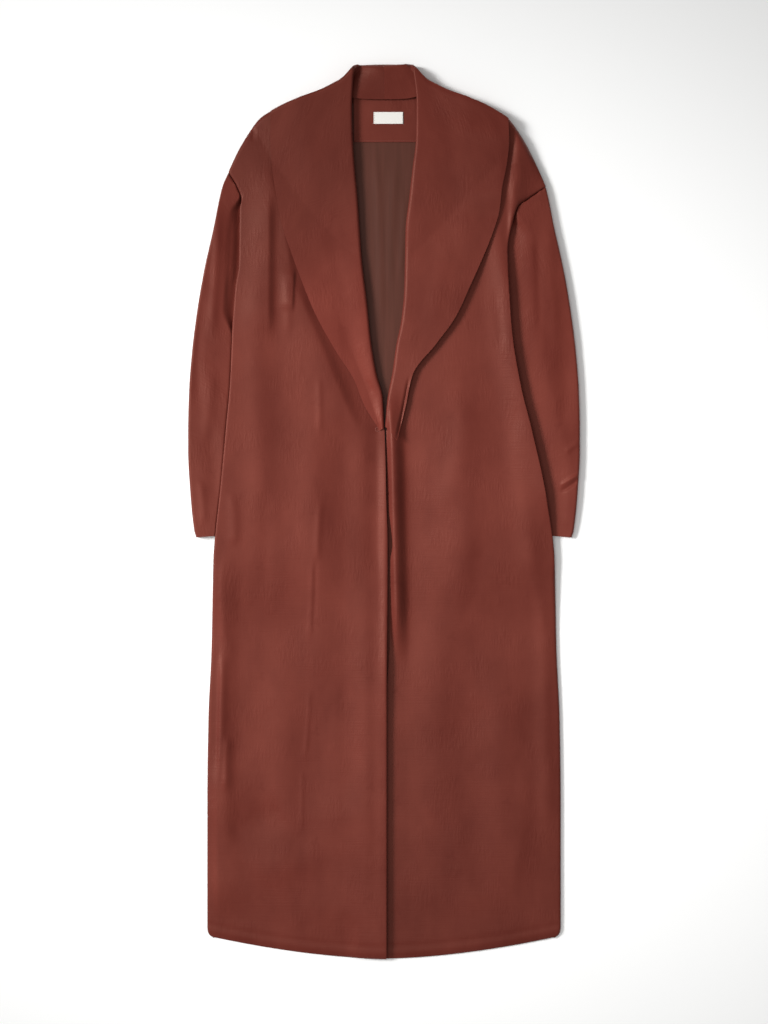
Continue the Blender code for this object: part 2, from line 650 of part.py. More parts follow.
back = back_sheet()
piece("back", back, SHELL_WALL, 1, SATIN)
piece("back_lining", lining_sheet(back), LINING_WALL, 1, LINING_CLOTH)
on_lining = LINING_WALL + SEAM_GAP
patch = flat_sheet(PATCH_LEFT, PATCH_RIGHT, PATCH_BOTTOM, PATCH_TOP, PATCH_COLUMNS, on_lining)
piece("neck_patch", patch, PATCH_WALL, 1, SATIN)
on_patch = on_lining + PATCH_WALL + SEAM_GAP
label = flat_sheet(LABEL_LEFT, LABEL_RIGHT, LABEL_BOTTOM, LABEL_TOP, LABEL_COLUMNS, on_patch)
piece("label", label, LABEL_WALL, 1, LABEL_CLOTH)
for side, word in ((LEFT, "left"), (RIGHT, "right")):
    piece(f"front_{word}", front_sheet(side), SHELL_WALL, -1, SATIN)
    piece(f"collar_{word}", collar_sheet(side), COLLAR_WALL, 0, SATIN)
    piece(f"sleeve_{word}", sleeve_sheet(side), SHELL_WALL, -1, SATIN)
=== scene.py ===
"""A long shawl-collared satin coat, laid out flat on its back with its sleeves tucked under its sides.

Sizes and tables are in millimetres: "across" runs out from the centre line to either side, and "up" runs from
the lowest point of the hem. Left and right are as seen from above.
"""

import bmesh
import bpy
import numpy as np
from mathutils import Matrix


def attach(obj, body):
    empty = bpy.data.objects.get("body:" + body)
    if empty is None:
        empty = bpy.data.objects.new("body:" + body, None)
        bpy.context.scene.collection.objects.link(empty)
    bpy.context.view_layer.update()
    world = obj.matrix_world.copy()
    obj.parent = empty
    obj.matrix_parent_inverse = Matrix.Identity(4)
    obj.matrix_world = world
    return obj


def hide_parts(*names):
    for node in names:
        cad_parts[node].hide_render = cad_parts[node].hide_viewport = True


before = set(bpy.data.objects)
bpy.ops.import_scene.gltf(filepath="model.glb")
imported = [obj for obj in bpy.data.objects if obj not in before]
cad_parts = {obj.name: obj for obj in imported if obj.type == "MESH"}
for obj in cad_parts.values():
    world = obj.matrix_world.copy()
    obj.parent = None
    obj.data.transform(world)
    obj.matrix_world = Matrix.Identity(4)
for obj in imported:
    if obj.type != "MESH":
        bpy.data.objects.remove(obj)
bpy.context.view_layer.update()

# Back panel
# One wide piece of satin from the neck to the hem, with its lining worked in. It is sewn to the fronts at the
# sides and shoulders, and lies flat except where the sleeves and the collar's fall are tucked under it.
MM = 0.001
LEFT, RIGHT = -1, 1
COAT_LENGTH = 1300.0
SHELL_WALL = 1.4
SEAM_GAP = 0.3
SIDE_SEAM_GAP = 0.8
ARMHOLE_GAP = 3.8
SHOULDER_GAP, SHOULDER_GAP_REACH = 1.2, 24.0
ARMHOLE_START_UP, ARMHOLE_FULL_UP = 930.0, 1020.0
BODY_DEPTH = 6.4
EDGE_ROUNDNESS = 0.6
TUCKED_SLEEVE_DEPTH = 4.8
SUPPORT_CLEARANCE = 0.6
SUPPORT_MARGIN = 30.0
SUPPORT_RAMP = 40.0
NECK_CENTRE_UP = 1262.0
NECK_LIFT = 7.5
NECK_DEPTH = 6.2
NECK_FULL_RADIUS, NECK_END_RADIUS = 120.0, 280.0
NECK_POINT_ACROSS = 77.0
NECKLINE_UP = 1251.0
SHOULDER_INSET = 4.0
INSET_BEFORE_EDGE, INSET_PAST_EDGE = 14.0, 3.0
COLLAR_END_ACROSS = {LEFT: 164.0, RIGHT: 180.0}
HEM_RISE = 31.0
HEM_HALF_WIDTH = 247.0
HEM_POWER = 1.7
BACK_HEM_RISE = 3.0
HEM_BLEND = 0.15
SHOULDER_BLEND = 0.28
SLANT_REACH = 2.0
EDGE_STEPS = (0.0, 0.25, 0.7, 1.4, 2.4, 4.0, 6.5, 10.0)
HEM_STEPS = (0.0, 2.0, 5.0, 9.0, 14.0)
BACK_ROWS, BACK_COLUMNS = 150, 70
WELD_DISTANCE = 0.01
SHARP_ANGLE = 60
BELOW, BOTH, ABOVE = -1, 0, 1
FOLD_END = 0.25


def table(columns, *rows):
    """Rows of a table, each a dictionary of its named columns."""
    names = columns.split()
    return [dict(zip(names, row)) for row in rows]


SHOULDER = table(
    "across up",
    (44, 1299), (63, 1279), (74, 1273), (92, 1264), (122, 1253), (151, 1240), (165, 1232),
    (180, 1222), (195, 1203), (209, 1180), (226, 1144), (235, 1123),
)
SKIRT_SIDE = table(
    "up across",
    (31, 247), (33, 252), (37, 255.5), (46, 257), (230, 257), (347, 255.5), (449, 251), (580, 248),
)
BODY_SIDE = {
    LEFT: SKIRT_SIDE + table(
        "up across",
        (696, 237), (778, 229.5), (839, 224), (920, 220.5), (977, 216), (1009, 211), (1090, 209.5),
        (1104, 207), (1122, 213), (1144, 226),
    ),
    RIGHT: SKIRT_SIDE + table(
        "up across",
        (667, 237), (776, 213.5), (827, 200.5), (907, 187), (958, 183), (1031, 180), (1075, 188),
        (1095, 195), (1106, 210), (1123, 235),
    ),
}
SLEEVE_HEAD = {LEFT: (226, 1144), RIGHT: (235, 1123)}
SLEEVE_SEAM_BEND = {LEFT: (194, 1115), RIGHT: (172, 1116)}
UNDERARM = (137, 945)
CUFF_OUTER, CUFF_INNER = (273, 613), (155, 622)
CREASE = "from_across from_up to_across to_up bow width height"
BACK_FOLDS = table(
    CREASE,
    (-150, 560, -120, 90, 12, 16, 1.0), (60, 520, 96, 40, -10, 20, 1.2), (-10, 740, 30, 420, 9, 14, 0.9),
    (190, 420, 176, 110, 6, 12, 1.1), (-70, 300, -62, 30, -5, 10, 0.8), (110, 900, 84, 640, 8, 12, 0.8),
)


def read(rows, key, column, at):
    """The column's value where the key column equals at, on a smooth curve through the rows."""
    stops = np.array([row[key] for row in rows], float)
    values = np.array([row[column] for row in rows], float)
    rises = np.diff(values) / np.diff(stops)
    before, after = np.append(rises[:1], rises), np.append(rises, rises[-1:])
    same_way = before * after > 0
    slopes = np.where(same_way, 2 * before * after / np.where(same_way, before + after, 1.0), 0.0)
    at = np.clip(at, stops[0], stops[-1])
    low = np.clip(np.searchsorted(stops, at, side="right") - 1, 0, len(stops) - 2)
    span = stops[low + 1] - stops[low]
    t = (at - stops[low]) / span
    return (
        values[low] * (1 + 2 * t) * (1 - t) ** 2
        + values[low + 1] * t ** 2 * (3 - 2 * t)
        + slopes[low] * span * t * (1 - t) ** 2
        + slopes[low + 1] * span * t ** 2 * (t - 1)
    )


def ease(t):
    """A smooth step from 0 to 1."""
    t = np.clip(t, 0.0, 1.0)
    return t * t * (3 - 2 * t)


def mix(a, b, t):
    return a + (b - a) * t


def round_off(distance, radius):
    """A quarter circle that rises from 0 at an edge to 1 at the radius."""
    t = 1 - np.clip(distance / radius, 0.0, 1.0)
    return np.sqrt(1 - t * t)


def distance_to_outline(x, y, corners):
    """Distance to a straight-sided outline, 0 inside it."""
    nearest = np.full(np.shape(x), np.inf)
    inside = np.zeros(np.shape(x), bool)
    for (ax, ay), (bx, by) in zip(corners, corners[1:] + corners[:1]):
        along = ((x - ax) * (bx - ax) + (y - ay) * (by - ay)) / ((bx - ax) ** 2 + (by - ay) ** 2)
        along = np.clip(along, 0.0, 1.0)
        nearest = np.minimum(nearest, np.hypot(x - mix(ax, bx, along), y - mix(ay, by, along)))
        if ay != by:
            crossing = ax + (y - ay) * (bx - ax) / (by - ay)
            inside ^= ((ay > y) != (by > y)) & (x < crossing)
    return np.where(inside, 0.0, nearest)


def creases(rows, side, x, y):
    """Soft ridges, and troughs of negative height: each fades at its ends and bows to one side.

    One that runs down may have a width of its own to the left and to the right.
    """
    height = np.zeros(np.shape(x))
    for row in rows:
        ax, ay = side * row["from_across"], row["from_up"]
        bx, by = side * row["to_across"], row["to_up"]
        length = np.hypot(bx - ax, by - ay)
        along = ((x - ax) * (bx - ax) + (y - ay) * (by - ay)) / length ** 2
        aside = ((x - ax) * (by - ay) - (y - ay) * (bx - ax)) / length
        aside = aside + row.get("bow", 0.0) * 4 * along * (1 - along)
        ends = ease(along / FOLD_END) * ease((1 - along) / FOLD_END)
        left_width, right_width = [row.get(name, row.get("width")) for name in ("left_width", "right_width")]
        width = np.where(aside > 0, left_width, right_width)
        height += row["height"] * ends * np.exp(-((aside / width) ** 2))
    return height


def bent_seam(side, w):
    """The sleeve seam in plan, from the shoulder (w = 0) to the underarm (w = 1)."""
    start, bend, end = SLEEVE_HEAD[side], SLEEVE_SEAM_BEND[side], UNDERARM
    return [(1 - w) ** 2 * start[i] + 2 * w * (1 - w) * bend[i] + w * w * end[i] for i in (0, 1)]


def neck(x, y):
    """1 at the neck, where the collar lifts the body, fading out down the chest."""
    away = np.hypot(x, y - NECK_CENTRE_UP)
    return 1 - ease((away - NECK_FULL_RADIUS) / (NECK_END_RADIUS - NECK_FULL_RADIUS))


def support(x, y, ramp=SUPPORT_RAMP):
    """Height of the body's underside over the tucked sleeves and the collar's back fall."""
    height = NECK_LIFT * neck(x, y)
    for side in (LEFT, RIGHT):
        outline = [SLEEVE_HEAD[side], tuple(bent_seam(side, 0.5)), UNDERARM, CUFF_INNER, CUFF_OUTER]
        away = distance_to_outline(x * side, y, outline)
        clear = TUCKED_SLEEVE_DEPTH + SUPPORT_CLEARANCE
        height = np.maximum(height, clear * (1 - ease((away - SUPPORT_MARGIN) / ramp)))
    return height


def depth(x, y):
    """From the underside of the back to the top of a plain front."""
    return BODY_DEPTH + NECK_DEPTH * neck(x, y)


def side_seam(x, y):
    """Height where front and back meet along the side."""
    return support(x, y) + depth(x, y) / 2


def side_gap(y):
    """Gap between front and back at the side, wider where the armhole opens."""
    opened = ease((y - ARMHOLE_START_UP) / (ARMHOLE_FULL_UP - ARMHOLE_START_UP))
    return mix(SIDE_SEAM_GAP, ARMHOLE_GAP, opened)


def shoulder_line(side, across):
    """Top of the body at the shoulder, drawn in where the collar wraps over it."""
    past = (across - COLLAR_END_ACROSS[side] + INSET_BEFORE_EDGE) / (INSET_BEFORE_EDGE + INSET_PAST_EDGE)
    return read(SHOULDER, "across", "up", across) - SHOULDER_INSET * (1 - ease(past))


def hem_line(across):
    return HEM_RISE * (np.abs(across) / HEM_HALF_WIDTH) ** HEM_POWER


def spaced(start, count, end, length):
    """Places along a length: fixed steps at both ends and even ones between."""
    between = np.linspace(start[-1], length - end[-1], count + 2)
    return np.concatenate([start, between[1:-1], [length - step for step in reversed(end)]])


def body_rows(count):
    """Rows from 0 at the hem to 1 at the shoulders."""
    return spaced(HEM_STEPS, count, EDGE_STEPS, NECKLINE_UP) / NECKLINE_UP


def plan_steps(steps, both_ends):
    """Steps in plan as shares of their length, with the first one upright, so that the wall ends level."""
    lip = EDGE_STEPS[1]
    end = steps[-1] - lip if both_ends else steps[-1]
    return (np.clip(steps, lip, end) - lip) / (end - lip)


def slant(side, up):
    """How much longer a level step is than one square to the body's side, which slants at its corners."""
    seam = BODY_SIDE[side]
    lean = read(seam, "up", "across", up + SLANT_REACH) - read(seam, "up", "across", up - SLANT_REACH)
    return float(np.hypot(1.0, lean / (2 * SLANT_REACH)))


def edge_rise(x, y, from_edge):
    """0 at a rounded edge, 1 where the panel is flat again."""
    return round_off(from_edge, depth(x, y) / 2 + EDGE_ROUNDNESS)


def back_neck_line(x):
    """Top edge of the back: the shoulders, and the neckline dipping between them."""
    corner = float(shoulder_line(LEFT, NECK_POINT_ACROSS))
    neckline = mix(NECKLINE_UP, corner, (x / NECK_POINT_ACROSS) ** 2)
    shoulders = np.where(x < 0, shoulder_line(LEFT, np.abs(x)), shoulder_line(RIGHT, np.abs(x)))
    return np.where(np.abs(x) > NECK_POINT_ACROSS, shoulders, neckline)


def back_sheet():
    """Underside of the back, its sides and shoulders rounding up to meet the fronts."""
    left, right = BODY_SIDE[LEFT], BODY_SIDE[RIGHT]
    rows = []
    for v in body_rows(BACK_ROWS):
        left_up = mix(left[0]["up"], left[-1]["up"], v)
        right_up = mix(right[0]["up"], right[-1]["up"], v)
        left_x = -read(left, "up", "across", left_up)
        right_x = read(right, "up", "across", right_up)
        left_slant, right_slant = slant(LEFT, left_up), slant(RIGHT, right_up)
        left_edge, right_edge = np.array(EDGE_STEPS) * left_slant, np.array(EDGE_STEPS) * right_slant
        steps = spaced(left_edge, BACK_COLUMNS, right_edge, right_x - left_x)
        f = plan_steps(steps, True)
        hem_x = mix(-left[0]["across"], right[0]["across"], f)
        hem_bow = hem_line(hem_x) - mix(left[0]["up"], right[0]["up"], f) + BACK_HEM_RISE
        top_x = mix(-left[-1]["across"], right[-1]["across"], f)
        top_bow = back_neck_line(top_x) - mix(left[-1]["up"], right[-1]["up"], f)
        x = mix(left_x, right_x, f)
        y = mix(left_up, right_up, f) + hem_bow * (1 - ease(v / HEM_BLEND))
        y = y + top_bow * ease((v - 1 + SHOULDER_BLEND) / SHOULDER_BLEND)
        shoulder = ease((np.abs(x) - NECK_POINT_ACROSS) / SHOULDER_INSET)
        from_side = np.minimum(steps / left_slant, (steps[-1] - steps) / right_slant)
        rise = edge_rise(x, y, from_side) * mix(1.0, edge_rise(x, y, NECKLINE_UP * (1 - v)), shoulder)
        gap = mix(side_gap(y), SHOULDER_GAP, ease(from_side / SHOULDER_GAP_REACH))
        z = mix(side_seam(x, y) - gap / 2, support(x, y) + creases(BACK_FOLDS, RIGHT, x, y), rise)
        rows.append(np.stack([x, y, z], axis=-1))
    return np.array(rows)


def linear(hex_colour):
    """An sRGB hex colour as linear RGBA."""
    shares = [int(hex_colour[i:i + 2], 16) / 255 for i in (1, 3, 5)]
    return [c / 12.92 if c <= 0.04045 else ((c + 0.055) / 1.055) ** 2.4 for c in shares] + [1.0]


def set_inputs(material, node, inputs):
    """Gives a node's sockets their values, or links from other sockets."""
    for name, value in inputs.items():
        if isinstance(value, bpy.types.NodeSocket):
            material.node_tree.links.new(value, node.inputs[name])
        else:
            node.inputs[name].default_value = value


def add_node(material, kind, inputs=None, **settings):
    """Adds a node: settings go on the node, inputs on its sockets."""
    node = material.node_tree.nodes.new(kind)
    for name, value in settings.items():
        setattr(node, name, value)
    set_inputs(material, node, inputs or {})
    return node


def worked_out(material, operation, *values):
    """The result of a sum, each value a number or a socket."""
    return add_node(material, "ShaderNodeMath", dict(enumerate(values)), operation=operation).outputs[0]


def cloth_grain(material):
    """Place on the cloth in metres: across the piece, and along its warp."""
    return add_node(material, "ShaderNodeUVMap", uv_map="grain").outputs["UV"]


def cloth_noise(material, width, length, detail, roughness=0.5):
    """Soft noise on the cloth, its marks as wide and as long as given in metres."""
    place = add_node(material, "ShaderNodeMapping", {
        "Vector": cloth_grain(material), "Scale": (1 / width, 1 / length, 1.0)})
    noise = add_node(material, "ShaderNodeTexNoise", {
        "Vector": place.outputs["Vector"], "Scale": 1.0, "Detail": detail, "Roughness": roughness},
        noise_dimensions="2D")
    return noise.outputs["Fac"]


def ranged(material, value, start=0.0, end=1.0, low=0.0, high=1.0, shape="SMOOTHSTEP"):
    """Low where the value is at its start, high at its end, and between them on the way."""
    return add_node(material, "ShaderNodeMapRange", {
        "Value": value, "From Min": start, "From Max": end, "To Min": low, "To Max": high},
        interpolation_type=shape).outputs["Result"]


def two_tones(material, value, dark, light, dark_at=0.0, light_at=1.0):
    """A colour that goes from the dark tone to the light one with a value."""
    ramp = add_node(material, "ShaderNodeValToRGB", {"Fac": value})
    first, last = ramp.color_ramp.elements
    first.position, first.color = dark_at, linear(dark)
    last.position, last.color = light_at, linear(light)
    return ramp.outputs["Color"]


def bumped(material, height, strength, distance):
    """The surface's direction with a fine relief, its distance in metres."""
    return add_node(material, "ShaderNodeBump", {
        "Strength": strength, "Distance": distance, "Height": height}).outputs["Normal"]


def new_material(name):
    """An empty node material and its shader."""
    material = bpy.data.materials.new(name)
    material.use_nodes = True
    return material, material.node_tree.nodes["Principled BSDF"]


def jacquard_satin(name, shading_from=0.0, shading_to=1.0, low_painted_shading=1.0, high_painted_shading=1.0):
    """Viscose satin woven tone on tone: smooth, with a soft red-brown gloss, cloudy patches, faint streaks
    down the warp, short crinkles in places, fine slubs across and small matt sprigs that hardly show.

    Its colour is painted from low to high along the grain, between two places in metres, as painted shading.
    """
    material, shader = new_material(name)
    grain = cloth_grain(material)
    streaks = cloth_noise(material, width=0.025, length=0.1, detail=2.0)
    clouds = cloth_noise(material, width=0.07, length=0.12, detail=4.0, roughness=0.55)
    slubs = cloth_noise(material, width=0.05, length=0.0022, detail=2.0)
    crinkles = cloth_noise(material, width=0.0035, length=0.014, detail=2.0)
    patches = cloth_noise(material, width=0.045, length=0.045, detail=1.0)
    crinkled = ranged(material, patches, start=0.45, end=0.7, low=0.15)
    crinkle_height = worked_out(material, "MULTIPLY", crinkles, crinkled)
    leaves, lattice_turn = 3.0, np.radians(45)
    sprig_spacing, sprig_reach, sprig_waist, sprig_blur = 0.113, 0.009, 0.003, 0.0015
    sprig_place = add_node(material, "ShaderNodeMapping", {
        "Vector": grain, "Rotation": (0.0, 0.0, lattice_turn), "Scale": (1 / sprig_spacing,) * 3})
    sprigs = add_node(material, "ShaderNodeTexVoronoi", {
        "Vector": sprig_place.outputs["Vector"], "Scale": 1.0, "Randomness": 0.0}, voronoi_dimensions="2D")
    from_middle = add_node(material, "ShaderNodeVectorMath", {
        0: sprig_place.outputs["Vector"], 1: sprigs.outputs["Position"]}, operation="SUBTRACT")
    parts = add_node(material, "ShaderNodeSeparateXYZ", {"Vector": from_middle.outputs["Vector"]})
    turn = worked_out(material, "ARCTAN2", parts.outputs["Y"], parts.outputs["X"])
    wave = worked_out(material, "COSINE", worked_out(material, "MULTIPLY", turn, leaves))
    waist, tip = sprig_waist / sprig_spacing, sprig_reach / sprig_spacing
    reach = ranged(material, wave, start=-1.0, low=waist, high=tip, shape="LINEAR")
    inside = worked_out(material, "SUBTRACT", reach, sprigs.outputs["Distance"])
    sprig = ranged(material, inside, end=sprig_blur / sprig_spacing)
    cloud_share, sprig_tone = 0.82, -0.06
    tone = add_node(material, "ShaderNodeMix", {
        "Factor": cloud_share, "A": streaks, "B": clouds}, data_type="FLOAT")
    marked = worked_out(material, "MULTIPLY_ADD", sprig, sprig_tone, tone.outputs["Result"])
    # Painted light and shade: the colour's brightness is scaled along the grain, so parts of a piece look lit
    # or shaded.
    along = add_node(material, "ShaderNodeSeparateXYZ", {"Vector": grain})
    sheen = ranged(material, along.outputs["Y"], shading_from, shading_to, low_painted_shading, high_painted_shading)
    colour = two_tones(material, marked, dark="#541F19", light="#6E3229", dark_at=0.12, light_at=0.88)
    painted_colour = add_node(material, "ShaderNodeHueSaturation", {"Color": colour, "Value": sheen})
    crinkle_share = 0.75
    relief = add_node(material, "ShaderNodeMix", {
        "Factor": crinkle_share, "A": slubs, "B": crinkle_height}, data_type="FLOAT")
    warp = add_node(material, "ShaderNodeTangent", direction_type="UV_MAP", uv_map="grain")
    set_inputs(material, shader, {
        "Base Color": painted_colour.outputs["Color"],
        "Roughness": ranged(material, sprig, low=0.43, high=0.47, shape="LINEAR"),
        "Normal": bumped(material, relief.outputs["Result"], strength=0.6, distance=0.0008),
        "Tangent": warp.outputs["Tangent"],
        "Specular IOR Level": 0.22,
        "Specular Tint": linear("#F0B8A4"),
        "Anisotropic": 0.5,
        "Sheen Weight": 0.04,
        "Sheen Roughness": 0.4,
        "Sheen Tint": linear("#E0A090"),
    })
    return material


def laid_cloth(name, points, wall, side_of_sheet, grain, material):
    """A cloth piece: a grid moved onto the points, with its grain as a UV map and a wall of its own.

    The wall goes below the sheet, above it or to both sides.
    """
    rows, columns = points.shape[:2]
    form = bmesh.new()
    bmesh.ops.create_grid(form, x_segments=columns - 1, y_segments=rows - 1, size=1.0)
    form.verts.ensure_lookup_table()
    for vert, (x, y, z) in zip(form.verts, points.reshape(-1, 3)):
        vert.co = (x * MM, (y - COAT_LENGTH / 2) * MM, z * MM)
    form.verts.index_update()
    along = grain.reshape(-1, 2) * MM
    layer = form.loops.layers.uv.new("grain")
    for face in form.faces:
        for loop in face.loops:
            loop[layer].uv = along[loop.vert.index]
    bmesh.ops.remove_doubles(form, verts=form.verts, dist=WELD_DISTANCE * MM)
    form.normal_update()
    if np.allclose(points[:, 0], points[:, -1]):
        bmesh.ops.recalc_face_normals(form, faces=form.faces)
    elif sum(face.normal.z * face.calc_area() for face in form.faces) < 0:
        bmesh.ops.reverse_faces(form, faces=form.faces)
    mesh = bpy.data.meshes.new(name)
    form.to_mesh(mesh)
    form.free()
    thing = bpy.data.objects.new(name, mesh)
    bpy.context.collection.objects.link(thing)
    thickness = thing.modifiers.new("wall", "SOLIDIFY")
    thickness.thickness = wall * MM
    thickness.offset = side_of_sheet
    thickness.use_even_offset = False
    thickness.use_quality_normals = True
    walled = bpy.data.meshes.new_from_object(thing.evaluated_get(bpy.context.evaluated_depsgraph_get()))
    thing.modifiers.clear()
    thing.data = walled
    bpy.data.meshes.remove(mesh)
    walled.name = name
    walled.shade_smooth()
    walled.set_sharp_from_angle(angle=np.radians(SHARP_ANGLE))
    walled.materials.clear()
    walled.materials.append(material)
    return thing


def lay(thing, node):
    """Fixes a cloth piece to the coat in its node's place, and hides the node's own part.

    The real cut of each piece has 15 mm more for seams and 40 mm for hems.
    """
    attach(thing, "root")
    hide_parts(node)


satin = jacquard_satin("jacquard_satin")
back_points = back_sheet()
back = laid_cloth("back_panel", back_points, SHELL_WALL, ABOVE, back_points[..., :2], satin)
lay(back, "back")

# Lining, hanger patch and label
# The dark brown lining shows in the neck opening. A rectangle of the satin, its edges turned in, is sewn to
# it under the collar. A small woven label of cream ribbon, left blank, is sewn to the patch by its ends.
LINING_WALL, PATCH_WALL, LABEL_WALL = 1.0, 1.0, 1.0
LINING_LEFT, LINING_RIGHT = -66.0, 66.0
LINING_BOTTOM, LINING_TOP = 750.0, 1243.0
PATCH_LEFT, PATCH_RIGHT = -44.0, 51.5
PATCH_BOTTOM, PATCH_TOP = 1187.0, 1256.0
LABEL_LEFT, LABEL_RIGHT = -15.0, 27.5
LABEL_BOTTOM, LABEL_TOP = 1213.5, 1230.5
NECK_LINING_LIFT = 2.0
SHEET_CELL = 3.0
LINING_FOLDS = table(
    CREASE,
    (-14, 1190, -6, 900, 4, 5, 0.7), (18, 1170, 10, 960, -3, 6, 0.6), (30, 1120, 22, 980, 2, 4, 0.5),
)


def plain_lining():
    """Twill viscose lining: thin, smooth and brown, with a soft even sheen and faint upright streaks."""
    material, shader = new_material("viscose_lining")
    streaks = cloth_noise(material, width=0.006, length=0.12, detail=3.0)
    colour = two_tones(material, streaks, dark="#4F2B21", light="#562F25", dark_at=0.3, light_at=0.7)
    set_inputs(material, shader, {
        "Base Color": colour,
        "Normal": bumped(material, streaks, strength=0.2, distance=0.0003),
        "Roughness": 0.5,
        "Specular IOR Level": 0.15,
    })
    return material


def ribs(material, place, spacing, direction, distortion=0.0):
    """Even ribs, their spacing in metres."""
    spacing_at_scale_one = 0.3142
    return add_node(material, "ShaderNodeTexWave", {
        "Vector": place, "Scale": spacing_at_scale_one / spacing, "Distortion": distortion},
        bands_direction=direction).outputs["Fac"]


def woven_label():
    """Polyester ribbon: cream, matt and finely ribbed across."""
    material, shader = new_material("cream_ribbon")
    across = ribs(material, cloth_grain(material), spacing=0.0012, direction="X", distortion=0.4)
    set_inputs(material, shader, {
        "Base Color": two_tones(material, across, dark="#E1DDD5", light="#EDEBE6"),
        "Normal": bumped(material, across, strength=0.3, distance=0.0002),
        "Roughness": 0.7,
    })
    return material


def sewing_thread(name, hex_colour):
    """Spun polyester thread: matt, with its twist as a fine slanting rib."""
    material, shader = new_material(name)
    place = add_node(material, "ShaderNodeTexCoord").outputs["Object"]
    twist = ribs(material, place, spacing=0.0006, direction="DIAGONAL")
    set_inputs(material, shader, {
        "Base Color": linear(hex_colour),
        "Normal": bumped(material, twist, strength=0.4, distance=0.0001),
        "Roughness": 0.65,
    })
    return material


def stitches(name, places, size, material):
    """Short threads in one piece: each place is its x, up and height, and its turn."""
    form = bmesh.new()
    for x, up, height, turn in places:
        spot = Matrix.Translation((x * MM, (up - COAT_LENGTH / 2) * MM, height * MM))
        shape = Matrix.Rotation(turn, 4, "Z") @ Matrix.Diagonal((*size, 1.0))
        bmesh.ops.create_icosphere(form, subdivisions=2, radius=MM / 2, matrix=spot @ shape)
    mesh = bpy.data.meshes.new(name)
    form.to_mesh(mesh)
    form.free()
    mesh.shade_smooth()
    mesh.materials.append(material)
    thing = bpy.data.objects.new(name, mesh)
    bpy.context.collection.objects.link(thing)
    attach(thing, "root")


def flat_sheet(left, right, bottom, top, lift, folds=()):
    """A rectangle of cloth laid over the back, raised by what is under it and held up at the neck."""
    columns, rows = int((right - left) / SHEET_CELL) + 2, int((top - bottom) / SHEET_CELL) + 2
    x, y = np.meshgrid(np.linspace(left, right, columns), np.linspace(bottom, top, rows))
    z = support(x, y) + SHELL_WALL + SEAM_GAP + lift
    z = z + creases(folds, RIGHT, x, y) + NECK_LINING_LIFT * neck(x, y)
    return np.stack([x, y, z], axis=-1)


lining_points = flat_sheet(LINING_LEFT, LINING_RIGHT, LINING_BOTTOM, LINING_TOP, 0.0, LINING_FOLDS)
lining = laid_cloth("neck_lining", lining_points, LINING_WALL, ABOVE, lining_points[..., :2], plain_lining())
on_lining = LINING_WALL + SEAM_GAP
patch_points = flat_sheet(PATCH_LEFT, PATCH_RIGHT, PATCH_BOTTOM, PATCH_TOP, on_lining)
patch = laid_cloth("hanger_patch", patch_points, PATCH_WALL, ABOVE, patch_points[..., :2], satin)
on_patch = on_lining + PATCH_WALL + SEAM_GAP
label_points = flat_sheet(LABEL_LEFT, LABEL_RIGHT, LABEL_BOTTOM, LABEL_TOP, on_patch)
label = laid_cloth("blank_label", label_points, LABEL_WALL, ABOVE, label_points[..., :2], woven_label())
lay(lining, "back_lining")
lay(patch, "neck_patch")
lay(label, "label")


def sheet_top(x, up, lift):
    """Top of a laid sheet of the neck at a place."""
    return float(flat_sheet(x, x, up, up, lift)[0, 0, 2])


def seam_of_stitches(start, end, spacing, lift):
    """Places of even stitches along a straight line on a laid sheet."""
    run = np.subtract(end, start)
    count = int(np.hypot(*run) / spacing)
    turn = np.arctan2(run[1], run[0])
    spots = [np.array(start) + run * (number + 0.5) / count for number in range(count)]
    return [(x, up, sheet_top(x, up, lift), turn) for x, up in spots]


STITCH_SIZE = (2.4, 0.6, 0.5)
STITCH_SPACING = 3.1
STITCH_INSET = 2.0
russet_thread = sewing_thread("russet_thread", "#783B30")
patch_top = on_patch - SEAM_GAP
left, right, low = PATCH_LEFT + STITCH_INSET, PATCH_RIGHT - STITCH_INSET, PATCH_BOTTOM + STITCH_INSET
corners = [(left, PATCH_TOP), (left, low), (right, low), (right, PATCH_TOP)]
patch_places = []
for start, end in zip(corners, corners[1:]):
    patch_places += seam_of_stitches(start, end, STITCH_SPACING, patch_top)
stitches("patch_stitches", patch_places, STITCH_SIZE, russet_thread)
label_places = []
for x in (LABEL_LEFT + STITCH_INSET / 2, LABEL_RIGHT - STITCH_INSET / 2):
    label_places += seam_of_stitches((x, LABEL_BOTTOM), (x, LABEL_TOP), STITCH_SPACING, on_patch + LABEL_WALL)
stitches("label_stitches", label_places, STITCH_SIZE, sewing_thread("cream_thread", "#C1B9AB"))

